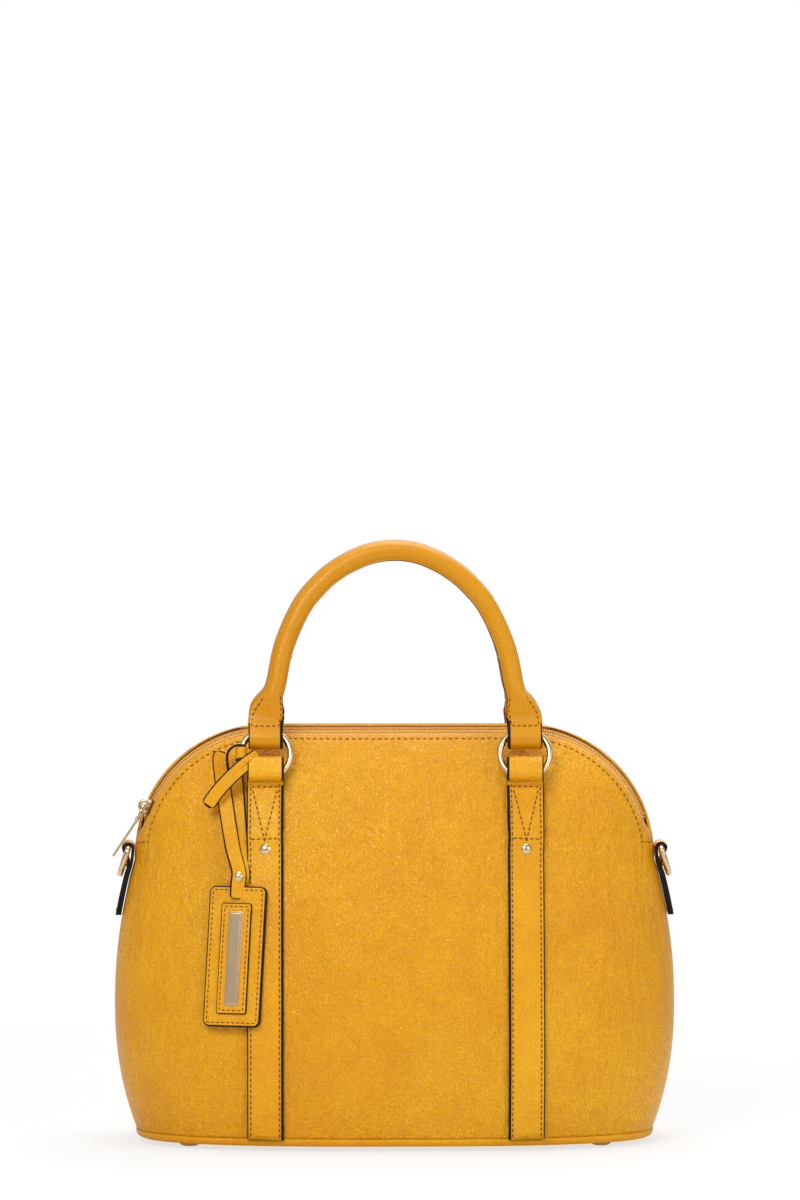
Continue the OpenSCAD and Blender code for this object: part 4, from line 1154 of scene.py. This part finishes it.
class BAG_OT_tag_strap(BagPieceOperator, bpy.types.Operator):
    """Make the tag's strap, its knot on the ring, its diagonal tail and its rivet"""
    bl_idname = "bag.tag_strap"
    bl_label = "Tag strap"

    def make(self, form, trim):
        plane = TagPlane()
        centre = ring_centre(form, trim, -1, -1)
        front = Vector((0, -1, 0))

        def skin(x, z, out):
            """Point in front of the bag, never deeper than the ring's plane."""
            point = form.off(x, z, -1, out)
            return Vector((point.x, min(point.y, centre.y + 1.5), point.z))
        # Front layer: from under the tag's slot, up in front, and round behind the ring
        piece = Piece("tag_strap_leather", "strap_leather", "edge_paint")
        up_front = [plane.spot(0, -5.6, 2.25), plane.spot(0, -2.0, 2.5), plane.spot(0, 3.5, 2.6),
                    plane.spot(-0.2, 11, 1.6)]
        climb = [(-96.3, 178), (-98.8, 192), (-101.2, 206), (-103.4, 220), (-104.4, 230)]
        up_front += [skin(x, z, 5.2) for x, z in climb]
        self.ribbon(piece, curve_through(up_front + [Vector((-104.2, centre.y + 1.6, 238))], 7), front, rounded=True)
        # Its top turns edge-on and goes behind the ring
        over = [(-100.4, 226), (-101.2, 232), (-100.6, 237.6), (-97.6, 241), (-94, 242), (-90.8, 241.6)]
        self.ribbon(piece, curve_through([Vector((x, centre.y + 2.2, z)) for x, z in over], 6), -front, edge_on=True,
                    wide=7)
        # Rear layer: from the slot up beside the vertical strap, to the knot
        rear = [plane.spot(0.4, -5.5, -0.4), plane.spot(0.6, -4.8, -2.3), plane.spot(1.0, 1.5, -2.4),
                plane.spot(1.6, 9.5, -0.6)]
        rear += [skin(x, z, 2.4) for x, z in ((-92.6, 176), (-93.4, 190), (-94.6, 204), (-95.6, 218), (-96.6, 229))]
        self.ribbon(piece, curve_through(rear, 7), front)
        # Tail: across the ring and the front layer, down to a rounded end
        tail = [Vector((x, centre.y - out, z)) for x, out, z in (
            (-82.0, 1.9, 236.2), (-86.5, 6.1, 233.5), (-91.5, 10.5, 230), (-99, 11.8, 223.4), (-106.5, 10.7, 215.2),
            (-113.4, 9.8, 205.6))]
        self.ribbon(piece, curve_through(tail, 8), front, rounded=True, wide=8.8)
        slit = [spot + front * 0.75 + Vector((1.0, 0, 1.6)) for spot in curve_through(tail[1:4], 6)]
        piece.sweep(frames_along(slit, -front), round_outline(0.42, 8), parts=[0] * 8)
        piece.done("tag_hanger", "tag_strap")

        knot = Piece("tag_knot_leather", "strap_leather", "edge_paint")
        up = leaning(-1, RING_LEAN)
        hub = centre + Vector((-(trim.ring - 0.3), 0, 0))
        across = up.cross(front).normalized()
        turns = [math.radians(-100 + 340 * k / 24) for k in range(25)]
        coil = [hub + (across * math.cos(turn) + across.cross(up) * math.sin(turn)) * 3.0 for turn in turns]
        knot.band(frames_along(coil, up), 8.0, 1.0, 0.5)
        knot.done("front_rings", "tag_knot")

        rivet = Piece("tag_rivet_head", "gold_metal")
        rivet.lathe([(r * 0.875, h) for r, h in DOME], plane.spot(-0.2, 8.0, 2.75), plane.out + Vector((0, 0, 0.05)))
        rivet.done("tag_hanger", "tag_rivet")

    def ribbon(self, piece, path, front, rounded=False, edge_on=False, wide=9.4):
        """A flat band along a path, its face or its edge to the front. Its ends may be rounded."""
        sides = []
        for k, point in enumerate(path):
            along = path[min(k + 1, len(path) - 1)] - path[max(k - 1, 0)]
            side = front if edge_on else Vector((1, 0.27, 0)).lerp(
                along.cross(front).normalized(), smooth((point.z - 168) / 32))
            sides.append(side.normalized())
        frames, ends = frames_along(path, sides), ()
        outline, parts = strap_outline(wide, 1.5, 0.8)
        if rounded:
            shares, ends = self.rounding(path), (0, len(path) - 2)
            frames = [(*frame, min(pair)) for frame, *pair in zip(frames, shares, reversed(shares))]
        piece.sweep(frames, outline, parts=lambda i, j: 1 if j in ends else parts[i], caps=1)

    def rounding(self, path):
        """Width share at each point of a band whose far end is round."""
        total = sum((b - a).length for a, b in zip(path, path[1:]))
        travel, made = 0.0, []
        for k, point in enumerate(path):
            if k:
                travel += (point - path[k - 1]).length
            left = total - travel
            made.append(math.sqrt(max(0.12, 1 - max(0, 1 - left / 3.2) ** 2)))
        return made


# ---------------------------------------------------------------- stage and camera

class BAG_OT_stage(bpy.types.Operator):
    """Make the floor, the soft studio light and the camera"""
    bl_idname = "bag.stage"
    bl_label = "Stage"

    def execute(self, context):
        scene = context.scene
        scene.view_settings.view_transform = "Standard"
        self.floor(scene)
        self.world(scene)
        for name, place, size, power, tint in (
                ("key_light", (-0.5, -1.3, 1.25), 0.8, 15.0, (1.0, 0.985, 0.96)),
                ("fill_light", (1.1, -1.0, 0.75), 1.0, 4.5, (1.0, 0.99, 0.98)),
                ("top_light", (0.1, 0.25, 1.5), 0.9, 13.0, (1.0, 1.0, 1.0)),
                ("back_light", (0.3, 1.3, 0.8), 1.1, 5.0, (1.0, 1.0, 1.0))):
            lamp = bpy.data.lights.new(name, "AREA")
            lamp.size, lamp.energy, lamp.color = size, power, tint
            made = bpy.data.objects.new(name, lamp)
            made.location = place
            made.rotation_euler = (Vector((0, 0, 0.15)) - Vector(place)).to_track_quat("-Z", "Y").to_euler()
            scene.collection.objects.link(made)
        self.camera(scene)
        return {"FINISHED"}

    def floor(self, scene):
        bm = bmesh.new()
        bmesh.ops.create_grid(bm, x_segments=8, y_segments=8, size=6)
        mesh = bpy.data.meshes.new("floor")
        bm.to_mesh(mesh)
        bm.free()
        floor = bpy.data.objects.new("floor", mesh)
        s = Shader(bpy.data.materials.new("studio_floor"))
        seen = s.node("ShaderNodeLightPath", {}, {}, "Is Camera Ray")
        glossy = s.node("ShaderNodeLightPath", {}, {}, "Is Glossy Ray")
        far = s.node("ShaderNodeVectorMath", {"operation": "LENGTH"}, {0: s.place()}, "Value").rise(0.25, 0.9)
        white = s.node("ShaderNodeEmission", {}, {"Color": (1, 1, 1, 1), "Strength": 1.0})
        matt = s.node("ShaderNodeBsdfDiffuse", {}, {"Color": (0.9, 0.9, 0.9, 1)})
        cloud = s.noise(s.place(), 3)
        share = seen * (0.72 + far * 0.28) + glossy * 0.2 + cloud * 0.01
        mesh.materials.append(s.surface(s.node("ShaderNodeMixShader", {}, {0: share, 1: matt, 2: white})))
        scene.collection.objects.link(floor)

    def world(self, scene):
        """A white backdrop that lights the bag softly and shows a little in what shines."""
        s = Shader(bpy.data.worlds.new("studio"))
        seen, glossy = (s.node("ShaderNodeLightPath", {}, {}, f"Is {kind} Ray") for kind in ("Camera", "Glossy"))
        backdrop = s.node("ShaderNodeBackground", {}, {"Color": (1, 1, 1, 1)})
        light = s.node("ShaderNodeBackground", {}, {"Color": (1, 0.96, 0.88, 1), "Strength": 0.27})
        mixed = s.node("ShaderNodeMixShader", {}, {0: glossy * 0.3 + seen, 1: light, 2: backdrop})
        scene.world = s.surface(mixed, "ShaderNodeOutputWorld")

    def camera(self, scene):
        looks = scene.bag_camera
        lens = bpy.data.cameras.new("photo_camera")
        lens.sensor_fit = "AUTO"
        lens.sensor_width = 36
        made = bpy.data.objects.new("photo_camera", lens)
        turn, tilt = looks.azimuth, looks.elevation
        back = Vector((math.sin(turn) * math.cos(tilt), -math.cos(turn) * math.cos(tilt), math.sin(tilt)))
        reach = looks.distance
        lens.lens = lens.sensor_width * reach / looks.frame_height
        aim = Vector((looks.aim_x, 0, looks.aim_z))
        made.location = aim + back * reach
        made.rotation_euler = (-back).to_track_quat("-Z", "Y").to_euler()
        lens.clip_start, lens.clip_end = 0.05, 30
        scene.collection.objects.link(made)
        scene.camera = made


class BagCamera(bpy.types.PropertyGroup):
    """Where the photograph was taken from."""
    azimuth: bpy.props.FloatProperty(name="Azimuth", description="Turn of the camera round the bag",
                                     default=math.radians(-0.8), subtype="ANGLE")
    elevation: bpy.props.FloatProperty(name="Elevation", description="Height of the camera as an angle",
                                       default=math.radians(3), subtype="ANGLE")
    distance: length("Distance", 4500, "Distance from the camera to the bag")
    frame_height: length("Frame height", 727, "Height of the view at the bag")
    aim_x: bpy.props.FloatProperty(name="Aim across", description="Sideways place at the middle of the view",
                                   default=0.0033, unit="LENGTH", precision=4)
    aim_z: length("Aim height", 327.4, "Height at the middle of the view")


class BAG_PT_panel(bpy.types.Panel):
    """Lists the bag's settings and pieces"""
    bl_idname = "BAG_PT_panel"
    bl_label = "Top handle bag"
    bl_space_type = "VIEW_3D"
    bl_region_type = "UI"
    bl_category = "Bag"

    def draw(self, context):
        for group in GROUPS:
            box = self.layout.box()
            box.label(text=group.__doc__)
            settings = getattr(context.scene, GROUPS[group])
            for name in group.__annotations__:
                box.prop(settings, name)
        for operator in PIECES:
            self.layout.operator(operator.bl_idname)


GROUPS = {BagBody: "bag_body", BagTrim: "bag_trim", BagLooks: "bag_looks", BagCamera: "bag_camera"}
PIECES = [BAG_OT_panels, BAG_OT_base, BAG_OT_straps, BAG_OT_rivets, BAG_OT_rings, BAG_OT_handles, BAG_OT_zip,
          BAG_OT_side_tabs, BAG_OT_tag, BAG_OT_tag_strap, BAG_OT_inside, BAG_OT_stage]


def register():
    for kind in (*GROUPS, *PIECES, BAG_PT_panel):
        bpy.utils.register_class(kind)
    for group, name in GROUPS.items():
        setattr(bpy.types.Scene, name, bpy.props.PointerProperty(type=group))


def unregister():
    for name in GROUPS.values():
        delattr(bpy.types.Scene, name)
    for kind in reversed((*GROUPS, *PIECES, BAG_PT_panel)):
        bpy.utils.unregister_class(kind)


def main():
    register()
    for operator in PIECES:
        group, name = operator.bl_idname.split(".")
        getattr(getattr(bpy.ops, group), name)()


if __name__ == "__main__":
    main()
